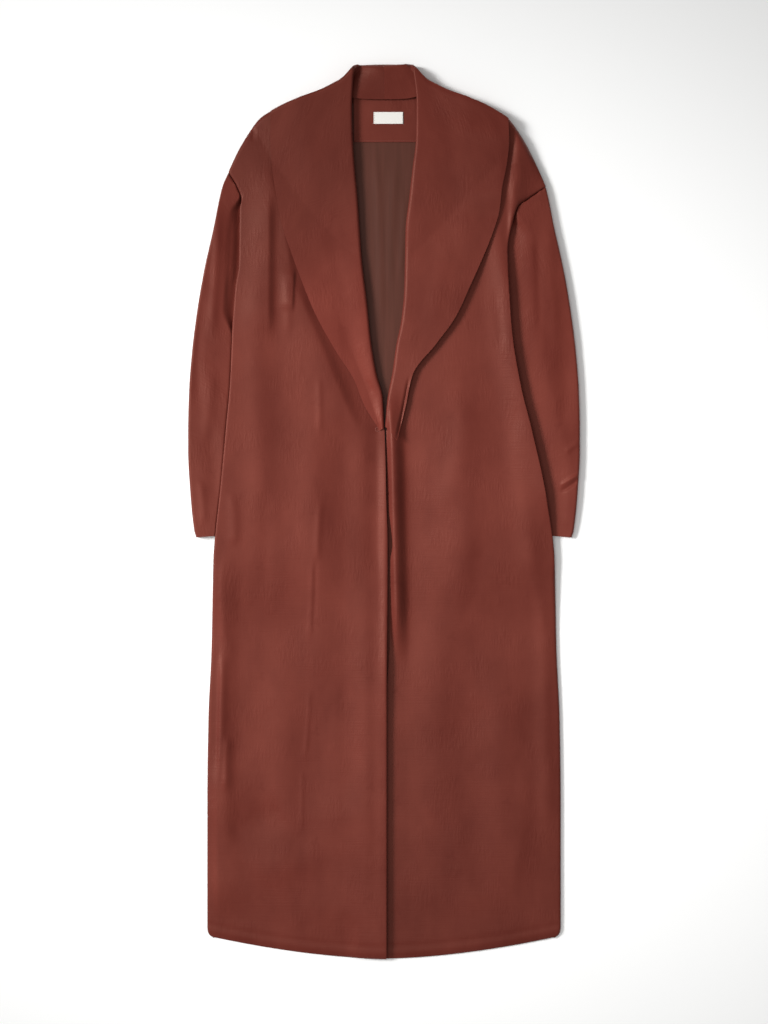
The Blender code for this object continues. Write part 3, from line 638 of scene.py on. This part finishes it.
# Sleeves
# Two wide dropped sleeves of the same satin, each a flat tube set into the armhole and hemmed at the cuff.
# They lie straight down beside the body, with their inner halves tucked under it.
SEAM_BEND_END = 0.4
LEAST_SHOWN = 14.0
SHOWN_CHANGE = 2.0
TUCK_START = 2.0
PLACES_TRIED = 201
SLEEVE_ROWS, SHOWN_COLUMNS, TUCKED_COLUMNS = 230, 28, 12
SLEEVE_EDGE_ROUND = 3.0
SLEEVE_EDGE_STEPS = (0.0, 0.3, 0.8, 1.5, 2.5, 4.0, 6.0, 8.0)
TUCKED_STEPS = (0.0, 0.25, 0.7, 1.4, 2.6)
SLEEVE_OUTER = table(
    "up across",
    (613, 273), (623, 276), (682, 282), (740, 285), (769, 285), (827, 283.5), (885, 279), (944, 271.5),
    (1002, 261.5), (1060, 248.5), (1123, 235), (1144, 226),
)
SLEEVE_PUFF = {
    LEFT: table(
        "up start width height",
        (613, -3.5, 4.5, 11.5), (905, -3.5, 4.5, 11.5), (945, 0.3, 16, 11.5), (1085, 0.3, 15, 11.5),
        (1112, -1.5, 3.5, 11.5), (1144, -1.5, 3.5, 11.5),
    ),
    RIGHT: table(
        "up start width height",
        (613, 2, 45, 11), (950, 2, 42, 12), (1050, 1, 34, 12), (1086, -1.5, 3.5, 12), (1123, -1.5, 3.5, 12),
    ),
}
SLEEVE_CREASES = {
    LEFT: table(
        CREASE,
        (240, 1115, 252, 890, 2, 7, 1.6), (221, 1095, 228, 930, 0, 5, -1.8),
        (258, 790, 246, 650, 4, 13, -1.6), (262, 980, 272, 790, -3, 8, -1.0),
        (268, 700, 262, 625, 2, 6, 1.0), (250, 860, 262, 740, 2, 9, 1.2),
    ),
    RIGHT: table(
        CREASE,
        (238, 1085, 252, 880, -2, 9, 1.4), (222, 1060, 226, 900, 0, 6, -1.2),
        (254, 686, 286, 706, 1, 2.5, 2.2), (254, 678, 284, 698, -1, 2.5, -2.2),
        (262, 735, 284, 752, 1, 4, 0.9), (264, 900, 258, 760, 3, 11, -1.2), (266, 690, 262, 620, 2, 7, 0.8),
    ),
}


def ring_ends(side, s):
    """Outer and inner end in plan of a sleeve's ring, at a share of the sleeve's length."""
    outer_up = mix(SLEEVE_HEAD[side][1], CUFF_OUTER[1], s)
    outer = (float(read(SLEEVE_OUTER, "up", "across", outer_up)), outer_up)
    return outer, [mix(UNDERARM[i], CUFF_INNER[i], s) for i in (0, 1)]


def ring_width(side, s):
    outer, inner = ring_ends(side, s)
    return float(np.hypot(inner[0] - outer[0], inner[1] - outer[1]))


def ring_plan(side, s, w):
    """Plan of a ring at a share of its width, and how far that lies outside the body."""
    outer, inner = ring_ends(side, s)
    head, seam = SLEEVE_HEAD[side], bent_seam(side, w)
    bend = (1 - np.clip(s / SEAM_BEND_END, 0.0, 1.0)) ** 2
    across = mix(outer[0], inner[0], w) + bend * (seam[0] - mix(head[0], UNDERARM[0], w))
    up = mix(outer[1], inner[1], w) + bend * (seam[1] - mix(head[1], UNDERARM[1], w))
    return across, up, across - read(BODY_SIDE[side], "up", "across", up)


def shown_widths(side, lengths):
    """How much of each ring shows beside the body, changing only a little from ring to ring."""
    shares = np.linspace(0.0, 1.0, PLACES_TRIED)
    shown = []
    for s in lengths:
        last = np.max(shares[ring_plan(side, s, shares)[2] >= 0], initial=0.0)
        shown.append(max(ring_width(side, s) * last, LEAST_SHOWN))
    number = np.arange(len(shown))
    return np.max(np.array(shown) - SHOWN_CHANGE * np.abs(np.subtract.outer(number, number)), axis=1)


def sleeve_sheet(side):
    """Outer skin of a sleeve: flat rings from the armhole seam to the cuff."""
    rows = []
    lengths = np.linspace(0.0, 1.0, SLEEVE_ROWS)
    for s, shown in zip(lengths, shown_widths(side, lengths)):
        width = ring_width(side, s)
        tucked = spaced((shown + TUCK_START,), TUCKED_COLUMNS, TUCKED_STEPS, width)
        steps = np.concatenate([spaced(SLEEVE_EDGE_STEPS, SHOWN_COLUMNS, (0.0,), shown), tucked])
        across, up, outside = ring_plan(side, s, steps / width)
        start, wide, high = [read(SLEEVE_PUFF[side], "up", name, up) for name in ("start", "width", "height")]
        puff = ease((outside - start) / wide)
        top = mix(TUCKED_SLEEVE_DEPTH, high, puff)
        rise = round_off(steps, SLEEVE_EDGE_ROUND) * round_off(width - steps, top / 2)
        wrinkle = creases(SLEEVE_CREASES[side], side, side * across, up) * puff
        over = np.stack([side * across, up, mix(top / 2, top + wrinkle, rise)], axis=-1)
        under = np.stack([side * across, up, mix(top / 2, 0.0, rise)], axis=-1)
        rows.append(np.concatenate([over, under[-2:0:-1], over[:1]]))
    return np.array(rows)


def cloth_lengths(points):
    """Lengths along the cloth, across each row and up the columns, as its grain."""
    across = np.linalg.norm(np.diff(points, axis=1), axis=2).cumsum(axis=1)
    across = np.concatenate([np.zeros((len(points), 1)), across], axis=1)
    up = np.linalg.norm(np.diff(points, axis=0), axis=2).mean(axis=1).cumsum()
    up = np.concatenate([[0.0], up])[:, None] + np.zeros(across.shape)
    return np.stack([across, up], axis=-1)


# Painted light and shade: the right sleeve is painted lighter, the left one a little darker.
SLEEVE_PAINTED_SHADING = {LEFT: (0.96, 0.96), RIGHT: (1.08, 1.12)}
SLEEVE_SHADING_SPAN = (0.0, 0.5)
SLEEVE_GRAIN_START = np.array([600.0, 0.0])
for side, word in ((LEFT, "left"), (RIGHT, "right")):
    sleeve_points = sleeve_sheet(side)
    grain = cloth_lengths(sleeve_points) + side * SLEEVE_GRAIN_START
    cloth = jacquard_satin(f"sleeve_{word}_satin", *SLEEVE_SHADING_SPAN, *SLEEVE_PAINTED_SHADING[side])
    sleeve = laid_cloth(f"sleeve_{word}_tube", sleeve_points, SHELL_WALL, BELOW, grain, cloth)
    lay(sleeve, f"sleeve_{word}")

# Fronts
# Two satin fronts with deep facings turned in at their edges. The left one laps over the right, and a hidden
# hook holds them at the foot of the collar, where the cloth puckers; below it both edges stand up a little.
FRONT_ROWS, FRONT_COLUMNS = 310, 104
FREE_EDGE_STEPS = (0.0, 1.0, 2.2, 4.0, 6.5)
HIDDEN_GAP = 3.0
OVERLAP_LIFT = 3.2
OVERLAP_RAMP_START, OVERLAP_RAMP_END = -62.0, -24.0
CLOSURE_UP, CLOSURE_FADE = 768.0, 60.0
LEAST_SEAM_RISE = 3.0
FRONT_RAMP = 120.0
SIDE_TIGHTNESS = {
    LEFT: table("up times", (31, 1.0), (560, 1.0), (640, 1.5), (1104, 1.5), (1124, 3.0)),
    RIGHT: table("up times", (31, 1.0), (560, 1.0), (640, 3.0), (1123, 3.0)),
}
FRONT_EDGE = table(
    "up left right",
    (0, 3.6, -17), (230, 3.6, -8), (376, 3.6, 2), (463, 4.4, 8.6), (580, 5.1, 9.3), (602, 5.1, 12.2),
    (623, 4.8, 10.4), (667, 3.2, 5.6), (725, 2.0, 4.2), (752, 1.2, 3.4), (768, 0.6, 3.2),
)
FOLD = "from_across from_up to_across to_up width height"
FRONT_FOLDS = {
    LEFT: table(
        FOLD,
        (-2, 790, -2, 330, 6, 2.6), (190, 1030, 176, 560, 20, 2.0), (100, 850, 96, 330, 24, 2.4),
        (60, 700, 66, 120, 30, 1.6), (228, 620, 232, 140, 13, 2.4), (145, 480, 150, 40, 26, 2.0),
    ),
    RIGHT: table(
        FOLD,
        (184, 1210, 174, 1080, 6, -1.2), (120, 880, 112, 420, 26, 2.2),
        (190, 800, 222, 520, 16, 2.2), (72, 640, 80, 160, 30, 1.8), (168, 470, 176, 60, 28, 2.2),
        (232, 560, 238, 150, 13, 2.0),
    ),
}
FRONT_CREASES = {
    LEFT: table(
        CREASE,
        (95, 850, 94, 755, 1, 4.5, 0.9), (92, 672, 97, 575, -1, 5, 1.1), (104, 585, 109, 455, 1, 4, 0.8),
        (99, 590, 103, 470, 0, 3.5, -0.6), (222, 682, 218, 596, 2, 8, 1.5), (235, 585, 232, 445, -2, 6, 1.2),
        (108, 400, 116, 282, 1, 3, 0.6),
        (119, 280, 120, 180, 0, 3, 0.5), (231, 179, 136, 216, 4, 24, -2.2), (209, 128, 78, 157, -5, 26, 1.8),
        (189, 1208, 191, 1188, 0, 3, -0.9), (143, 1000, 140, 900, 2, 6, 0.8),
        (60, 420, 40, 250, 3, 14, -0.8), (172, 700, 168, 520, -3, 10, -0.7),
        (14, 560, 12, 60, 0, 9, -0.8),
    ),
    RIGHT: table(
        CREASE,
        (126, 813, 82, 638, 4, 18, 1.2), (68, 288, 170, 376, 5, 26, -1.2),
        (150, 620, 120, 480, -4, 16, -0.9), (205, 300, 190, 90, 3, 14, 0.9), (96, 200, 140, 60, -3, 20, 0.9),
        (205, 1180, 214, 1130, 1, 4, 0.8), (160, 980, 172, 880, 1, 7, -0.8), (215, 560, 232, 470, 2, 8, 0.8),
    ),
}
STEP = "from_across from_up to_across to_up left_width right_width height"
FRONT_STEPS = {
    LEFT: table(
        STEP,
        (131, 1008, 134, 938, 20, 2.4, 2.4), (12, 800, 11, 540, 18, 7, -2.0),
        (236, 460, 240, 250, 3, 8, 3.4), (228, 330, 231, 240, 4, 8, 2.2), (-1, 560, -2, -130, 40, 7, 5.0),
        (243, 310, 240, 50, 8, 48, 4.0), (55, 260, 60, 20, 70, 30, 3.0),
    ),
    RIGHT: table(
        STEP,
        (10, 840, 20, 420, 6, 12, 9.0), (30, 830, 38, 400, 9, 45, -3.0), (8, 600, 6, -130, 10, 45, -2.5),
        (197, 1222, 181, 1036, 3, 15, 3.5), (184, 1232, 178, 1075, 60, 28, 5.0),
    ),
}
LAPEL_RIDGES = {
    LEFT: table(
        "from_across from_up to_across to_up bow left_width right_width height",
        (168, 1125, 169, 890, 0, 34, 8, 5.0), (175, 1160, 135, 965, 8, 30, 8, 3.2),
        (143, 1010, 31, 745, 0, 40, 11, 4.8),
    ),
    RIGHT: [],
}
SIDE_LIFT_REACH = 28.0
SIDE_LIFT = {
    LEFT: table("up height", (31, 0), (1144, 0)),
    RIGHT: table("up height", (31, 0), (600, 0), (690, 8), (960, 8), (1050, 2), (1085, 0), (1123, 0)),
}
HEM_TURN = 34.0
HEM_DENT = {"width": 3.5, "height": -0.7}
HEM_ROLL, HEM_DROP = 13.0, 4.2
PUCKER = {"x": -9.5, "up": 770.0, "reach": 6.0, "height": -1.0}


def front_top(side, x, y):
    """Top of a front, before its side edge rounds down."""
    height = support(x, y, FRONT_RAMP) + depth(x, y)
    for folds in (FRONT_FOLDS, FRONT_CREASES, FRONT_STEPS):
        height += creases(folds[side], side, x, y)
    from_hem = y - hem_line(x)
    height += HEM_DENT["height"] * np.exp(-(((from_hem - HEM_TURN / 2) / HEM_DENT["width"]) ** 2))
    height -= HEM_DROP * (1 - round_off(from_hem, HEM_ROLL))
    if side == LEFT:
        ramp = ease((x - OVERLAP_RAMP_START) / (OVERLAP_RAMP_END - OVERLAP_RAMP_START))
        height += OVERLAP_LIFT * ramp * ease((CLOSURE_UP + CLOSURE_FADE - y) / CLOSURE_FADE)
        away = np.hypot(x - PUCKER["x"], y - PUCKER["up"])
        height += PUCKER["height"] * np.exp(-((away / PUCKER["reach"]) ** 2))
    return height


COLLAR_SECTION = "roll_across roll_up edge_across edge_up under roll lift"
COLLAR_SECTIONS = {
    LEFT: table(
        COLLAR_SECTION,
        (0.6, 772, 6, 768, 4, 5, -0.6), (2.5, 815, 29, 806, 9, 6, -0.8), (12, 852, 44, 843, 13, 7, -1.0),
        (20, 900, 70, 884, 15, 7, -1.0), (26, 958, 100, 938, 16, 7, -1.0), (33, 1017, 122, 992, 17, 7, -0.8),
        (36, 1060, 136, 1030, 19, 7, 0.2), (39, 1104, 148, 1066, 22, 6.5, 1.3),
        (43, 1148, 156, 1106, 26, 6, 2.0), (46, 1192, 162, 1148, 30, 6, 3.0),
        (47, 1240, 165, 1190, 34, 6, 4.0), (44, 1299, 164, 1232, 38, 6, 4.3),
    ),
    RIGHT: table(
        COLLAR_SECTION,
        (2.4, 774, 19, 754, 6, 6, 3), (5.6, 813, 31, 800, 9, 8, 5), (13.6, 857, 42, 850, 12, 9, 6),
        (18, 890, 75, 893, 14, 9, 6), (26, 930, 104, 933, 15, 9, 6), (30, 973, 125, 978, 16, 9, 6),
        (31, 1017, 142, 1016, 17, 9, 5), (32, 1060, 157, 1053, 19, 9, 4), (37, 1104, 167, 1086, 22, 9, 3),
        (42, 1148, 171, 1120, 26, 7.5, 3), (47, 1192, 177, 1150, 30, 6, 3.5),
        (48, 1243, 181, 1187, 34, 3.6, 4), (42, 1299, 180, 1222, 38, 2.5, 4.3),
    ),
}


def collar_section(side, at):
    """The collar table's columns, read at a place between its sections."""
    rows = [dict(row, number=number) for number, row in enumerate(COLLAR_SECTIONS[side])]
    section = {name: float(read(rows, "number", name, at)) for name in COLLAR_SECTIONS[side][0]}
    run = np.array([section[f"edge_{way}"] - section[f"roll_{way}"] for way in ("across", "up")])
    section["width"] = float(np.hypot(*run))
    section["run"] = run / section["width"]
    return section


def collar_seam(side, at):
    """Plan of the collar's seam with the front, hidden under its roll."""
    section = collar_section(side, at)
    ways = enumerate(("across", "up"))
    return [section[f"roll_{way}"] + section["run"][i] * section["under"] for i, way in ways]


def inner_edge(side):
    """A front's inner edge from hem to neck: the front edge, then its seam with the collar."""
    name = "left" if side == LEFT else "right"
    rows = [{"up": row["up"], "across": side * row[name]} for row in FRONT_EDGE]
    for number in range(len(COLLAR_SECTIONS[side]) - 1):
        across, up = collar_seam(side, number)
        if up > CLOSURE_UP + LEAST_SEAM_RISE:
            rows.append({"up": up, "across": across + HIDDEN_GAP})
    rows.append({"up": float(shoulder_line(side, NECK_POINT_ACROSS)), "across": NECK_POINT_ACROSS})
    return rows


def front_sheet(side):
    """Top of a front: rows up from the hem, columns in from the side seam, which is tight over the sleeve."""
    inner = inner_edge(side)
    seam = BODY_SIDE[side]
    top = inner[-1]["up"]
    rows = []
    for v in body_rows(FRONT_ROWS):
        height = top * v
        side_up = mix(seam[0]["up"], seam[-1]["up"], v)
        side_across = read(seam, "up", "across", side_up)
        inner_across = read(inner, "up", "across", height)
        stretch = slant(side, side_up)
        edge = np.array(EDGE_STEPS) * stretch
        from_side = spaced(edge, FRONT_COLUMNS, FREE_EDGE_STEPS, side_across - inner_across)
        f = plan_steps(from_side, False)
        hem_across = mix(seam[0]["across"], inner[0]["across"], f)
        hem_bow = hem_line(hem_across) - mix(seam[0]["up"], 0.0, f)
        top_across = mix(seam[-1]["across"], NECK_POINT_ACROSS, f)
        top_bow = shoulder_line(side, top_across) - mix(seam[-1]["up"], top, f)
        x = side * mix(side_across, inner_across, f)
        y = mix(side_up, height, f) + hem_bow * (1 - ease(v / HEM_BLEND))
        y = y + top_bow * ease((v - 1 + SHOULDER_BLEND) / SHOULDER_BLEND)
        tight = read(SIDE_TIGHTNESS[side], "up", "times", side_up)
        rise = edge_rise(x, y, from_side / stretch * tight) * edge_rise(x, y, top - height)
        lift = read(SIDE_LIFT[side], "up", "height", side_up) * np.exp(-((from_side / SIDE_LIFT_REACH) ** 2))
        gap = mix(side_gap(y), SHOULDER_GAP, ease(from_side / SHOULDER_GAP_REACH))
        lift += creases(LAPEL_RIDGES[side], side, x, y)
        z = mix(side_seam(x, y) + gap / 2, front_top(side, x, y) + lift, rise)
        z = np.maximum(z, support(x, y) + 2 * SHELL_WALL + SEAM_GAP)
        rows.append(np.stack([x, y, z], axis=-1))
    return np.array(rows)


# Painted light and shade: the left front is painted darker towards its shoulder, the right one darker towards
# its hem.
FRONT_PAINTED_SHADING = {
    LEFT: {"from_up": 880.0, "to_up": 1090.0, "low": 1.0, "high": 0.79},
    RIGHT: {"from_up": 150.0, "to_up": 900.0, "low": 0.9, "high": 1.05},
}
FRONT_GRAIN_START = np.array([700.0, 330.0])
for side, word in ((LEFT, "left"), (RIGHT, "right")):
    front_points = front_sheet(side)
    start = side * FRONT_GRAIN_START
    grain = front_points[..., :2] + start
    sheen = FRONT_PAINTED_SHADING[side]
    shading_from, shading_to = (sheen["from_up"] + start[1]) * MM, (sheen["to_up"] + start[1]) * MM
    cloth = jacquard_satin(f"front_{word}_satin", shading_from, shading_to, sheen["low"], sheen["high"])
    front = laid_cloth(f"front_{word}_panel", front_points, SHELL_WALL, BELOW, grain, cloth)
    lay(front, f"front_{word}")

HOOK_STITCHES, HOOK_RADIUS = 9, 2.8
HOOK_STITCH_SIZE = (2.6, 1.1, 1.6)
hook_places = []
for turn in np.linspace(0.0, 2 * np.pi, HOOK_STITCHES, endpoint=False):
    x, up = PUCKER["x"] + HOOK_RADIUS * np.cos(turn), PUCKER["up"] + HOOK_RADIUS * np.sin(turn)
    hook_places.append((x, up, float(front_top(LEFT, x, up)), turn + np.pi / 2))
stitches("hook_stitches", hook_places, HOOK_STITCH_SIZE, russet_thread)

# Shawl collar
# Two halves of faced satin joined at the centre back. Each is sewn along the front edge and neckline, rolls
# over the seam and falls on the front, over the shoulder and behind the neck. The right edge stands off.
COLLAR_WALL = 1.6
COLLAR_REST = 1.6
COLLAR_UNDER_COLUMNS, COLLAR_OVER_COLUMNS = 8, 34
COLLAR_ROLL_ANGLES = np.linspace(-90, 90, 15)
COLLAR_FOLD_ANGLES = np.linspace(90, -90, 19)
COLLAR_ROWS, COLLAR_BACK_ROWS = 150, 26
LAST_FRONT_ROW = 0.06
ROLL_FADE = 0.6
SAG_SECTIONS = 2.0
CORNER_SHARE = 0.4
BACK_FALL_UP = 1225.0
BACK_STAND_UP = 1249.5
BACK_STAND_FOOT, BACK_STAND_TOP = 17.6, 21.0
STAND_SETTLES = 4
COLLAR_CORNER_STAND = {LEFT: 11.0, RIGHT: 19.0}
CENTRE_SEAM_GAP = 0.06
COLLAR_CREASES = {
    LEFT: table(
        CREASE,
        (120, 1215, 90, 1000, 6, 20, 0.8), (70, 1190, 62, 1010, -4, 14, 0.6), (24, 842, 17, 822, 1, 3, -0.8),
        (100, 1080, 60, 900, 4, 12, 0.6),
    ),
    RIGHT: table(
        CREASE,
        (140, 1190, 110, 1010, -5, 20, 0.9), (70, 1220, 56, 1010, 4, 14, 0.6),
        (90, 1060, 60, 900, 3, 14, 0.7), (37, 850, 17, 752, 1, 2.4, -2.4),
    ),
}


def collar_columns(section):
    """Distances from a section's rolled edge, and places on the roll from -1 (under) to 1 (over)."""
    radius = section["roll"] / 2
    under = np.linspace(section["under"], radius, COLLAR_UNDER_COLUMNS + 1)[:-1]
    angles = np.radians(COLLAR_ROLL_ANGLES)
    over = np.linspace(radius, section["width"], COLLAR_OVER_COLUMNS + 1)[1:]
    distance = np.concatenate([under, radius * (1 - np.cos(angles)), over])
    place = np.concatenate([-np.ones(len(under)), np.sin(angles), np.ones(len(over))])
    return distance, place


def collar_front_row(side, at):
    """Middle of one front section, from its hidden seam round the roll to its outer edge."""
    last = len(COLLAR_SECTIONS[side]) - 1
    section = collar_section(side, at)
    end = collar_section(side, last)
    distance, place = collar_columns(section)
    f = distance / section["width"]
    end_across = end["roll_across"] + f * end["width"] * end["run"][0]
    sag = read(SHOULDER, "across", "up", end_across) - (end["roll_up"] + f * end["width"] * end["run"][1])
    x = side * (section["roll_across"] + section["run"][0] * distance)
    y = section["roll_up"] + section["run"][1] * distance
    y = y + sag * ease((at - last + SAG_SECTIONS) / SAG_SECTIONS)
    seam_across, seam_up = collar_seam(side, at)
    foot = front_top(side, side * seam_across, seam_up) - SHELL_WALL / 2
    on_front = front_top(side, x, y) + COLLAR_REST + COLLAR_WALL / 2
    radius = section["roll"] / 2
    out = np.clip((distance - radius) / (section["width"] - radius), 0.0, 1.0)
    roll_stands = foot + section["roll"] - on_front[place == 1][0]
    fall = on_front + mix(roll_stands, section["lift"], ease(out / ROLL_FADE))
    fall = fall + creases(COLLAR_CREASES[side], side, x, y) * ease(out / ROLL_FADE)
    z = np.where(place < 1, foot + radius * (place + 1), fall)
    return np.stack([x, y, z], axis=-1)


def collar_fold_rows(side):
    """Sections that wrap the collar round the shoulder line, from its front to its back layer."""
    last = len(COLLAR_SECTIONS[side]) - 1
    front = collar_front_row(side, last)
    section = collar_section(side, last)
    distance, place = collar_columns(section)
    back_height = mix(COLLAR_CORNER_STAND[side], COLLAR_WALL / 2, (place + 1) / 2)
    radius = (front[:, 2] - back_height) / 2
    middle = (front[:, 2] + back_height) / 2
    outer_radius = np.where(place < 1, radius[place == 1][0], radius)
    across = side * front[:, 0]
    slope = read(SHOULDER, "across", "up", across + 1) - read(SHOULDER, "across", "up", across)
    inward = np.stack([slope, -np.ones(len(slope))], axis=-1) / np.hypot(slope, 1)[:, None]
    settled = ease(distance / section["width"] / CORNER_SHARE)[:, None]
    front_in = mix(np.array([0.0, -1.0]), inward, settled)
    back_in = mix(np.array([-1.0, 0.0]), inward, settled)
    rows = []
    for angle in np.radians(COLLAR_FOLD_ANGLES):
        way = mix(back_in, front_in, max(np.sin(angle), 0.0))
        inset = COLLAR_WALL / 2 + outer_radius - radius * np.cos(angle)
        plan = np.stack([across, front[:, 1]], axis=-1) + way * inset[:, None]
        rows.append(np.stack([side * plan[:, 0], plan[:, 1], middle + radius * np.sin(angle)], axis=-1))
    return rows


def collar_back_rows(side, corner):
    """Sections behind the neck, from the shoulder fold to the seam at the centre back."""
    section = {"roll": BACK_STAND_TOP - COLLAR_WALL / 2, "under": COAT_LENGTH - BACK_STAND_UP}
    section["width"] = COAT_LENGTH - BACK_FALL_UP
    distance, place = collar_columns(section)
    radius = section["roll"] / 2
    stand = np.where(place == -1, (distance - radius) / (section["under"] - radius), 0.0)
    z = mix(BACK_STAND_TOP, COLLAR_WALL / 2, (place + 1) / 2)
    z = mix(z, BACK_STAND_FOOT, stand)
    x = np.full(len(z), side * CENTRE_SEAM_GAP / 2)
    centre = np.stack([x, COAT_LENGTH - COLLAR_WALL / 2 - distance, z], axis=-1)
    rows = []
    for v in np.linspace(0.0, 1.0, COLLAR_BACK_ROWS + 1)[1:]:
        quick = mix(v, 1 - (1 - v) ** STAND_SETTLES, stand)
        rise = mix(1 - (1 - v) ** 2, quick, stand)
        shares = np.stack([np.full(len(z), v), quick, rise], axis=-1)
        rows.append(mix(corner, centre, shares))
    return rows


def collar_sheet(side):
    """Middle of one collar half: up the front, round the shoulder and along the back of the neck."""
    last = len(COLLAR_SECTIONS[side]) - 1
    front_rows = [collar_front_row(side, at) for at in np.linspace(0, last - LAST_FRONT_ROW, COLLAR_ROWS)]
    wrap = collar_fold_rows(side)
    return np.array(front_rows + wrap + collar_back_rows(side, wrap[-1]))


# Painted light and shade: the left collar is painted lighter low on the lapel and darker towards the shoulder
# and neck; the right one hardly changes.
COLLAR_PAINTED_SHADING = {LEFT: (1.28, 0.84), RIGHT: (1.03, 0.99)}
COLLAR_SHADING_SPAN = (0.15, 0.38)
COLLAR_GRAIN_START = np.array([1500.0, 0.0])
for side, word in ((LEFT, "left"), (RIGHT, "right")):
    collar_points = collar_sheet(side)
    grain = cloth_lengths(collar_points) + side * COLLAR_GRAIN_START
    cloth = jacquard_satin(f"collar_{word}_satin", *COLLAR_SHADING_SPAN, *COLLAR_PAINTED_SHADING[side])
    collar = laid_cloth(f"collar_{word}_half", collar_points, COLLAR_WALL, BOTH, grain, cloth)
    lay(collar, f"collar_{word}")

# Floor, light and camera
# A plain white floor, one soft light from the left, a broad weak fill over the skirt, and a camera straight
# overhead.
FLOOR_SIZE = 8.0
FRAME_HEIGHT = 1.4916
LENS, SENSOR = 100.0, 36.0
SKY_STRENGTH = 0.37


def floor_paint():
    """White studio paint: matt and even."""
    material, shader = new_material("white_floor")
    set_inputs(material, shader, {
        "Base Color": linear("#FDFDFC"),
        "Roughness": 0.9,
        "Specular IOR Level": 0.1,
    })
    return material


ground = bmesh.new()
bmesh.ops.create_grid(ground, x_segments=1, y_segments=1, size=FLOOR_SIZE / 2)
floor_mesh = bpy.data.meshes.new("floor")
ground.to_mesh(floor_mesh)
ground.free()
floor_mesh.materials.append(floor_paint())
floor = bpy.data.objects.new("floor", floor_mesh)
bpy.context.collection.objects.link(floor)


def area_light(name, place, aim, size, beam, power):
    """A square soft light, turned to its aim, with its beam in degrees."""
    lamp = bpy.data.lights.new(name, "AREA")
    lamp.size = size
    lamp.spread = np.radians(beam)
    lamp.energy = power
    thing = bpy.data.objects.new(name, lamp)
    thing.location = place
    away = np.array(place) - np.array(aim)
    level = np.hypot(away[0], away[1])
    thing.rotation_euler = (np.arctan2(level, away[2]), 0.0, np.arctan2(away[0], -away[1]))
    bpy.context.collection.objects.link(thing)


area_light("key", place=(-3.2, 0.8, 2.72), aim=(-0.12, 0.06, 0.0), size=1.5, beam=29.0, power=10.6)
area_light("fill", place=(-0.9, -0.5, 3.0), aim=(-0.35, -0.6, 0.0), size=2.0, beam=50.0, power=4.0)
world = bpy.data.worlds.new("studio")
world.use_nodes = True
sky = world.node_tree.nodes["Background"]
sky.inputs["Color"].default_value = linear("#FFFFFF")
sky.inputs["Strength"].default_value = SKY_STRENGTH
bpy.context.scene.world = world
bpy.context.scene.view_settings.view_transform = "Standard"

camera_data = bpy.data.cameras.new("camera")
camera_data.lens = LENS
camera_data.sensor_width = SENSOR
camera = bpy.data.objects.new("camera", camera_data)
camera.location = (0.0, 0.0, FRAME_HEIGHT * LENS / SENSOR)
bpy.context.collection.objects.link(camera)
bpy.context.scene.camera = camera
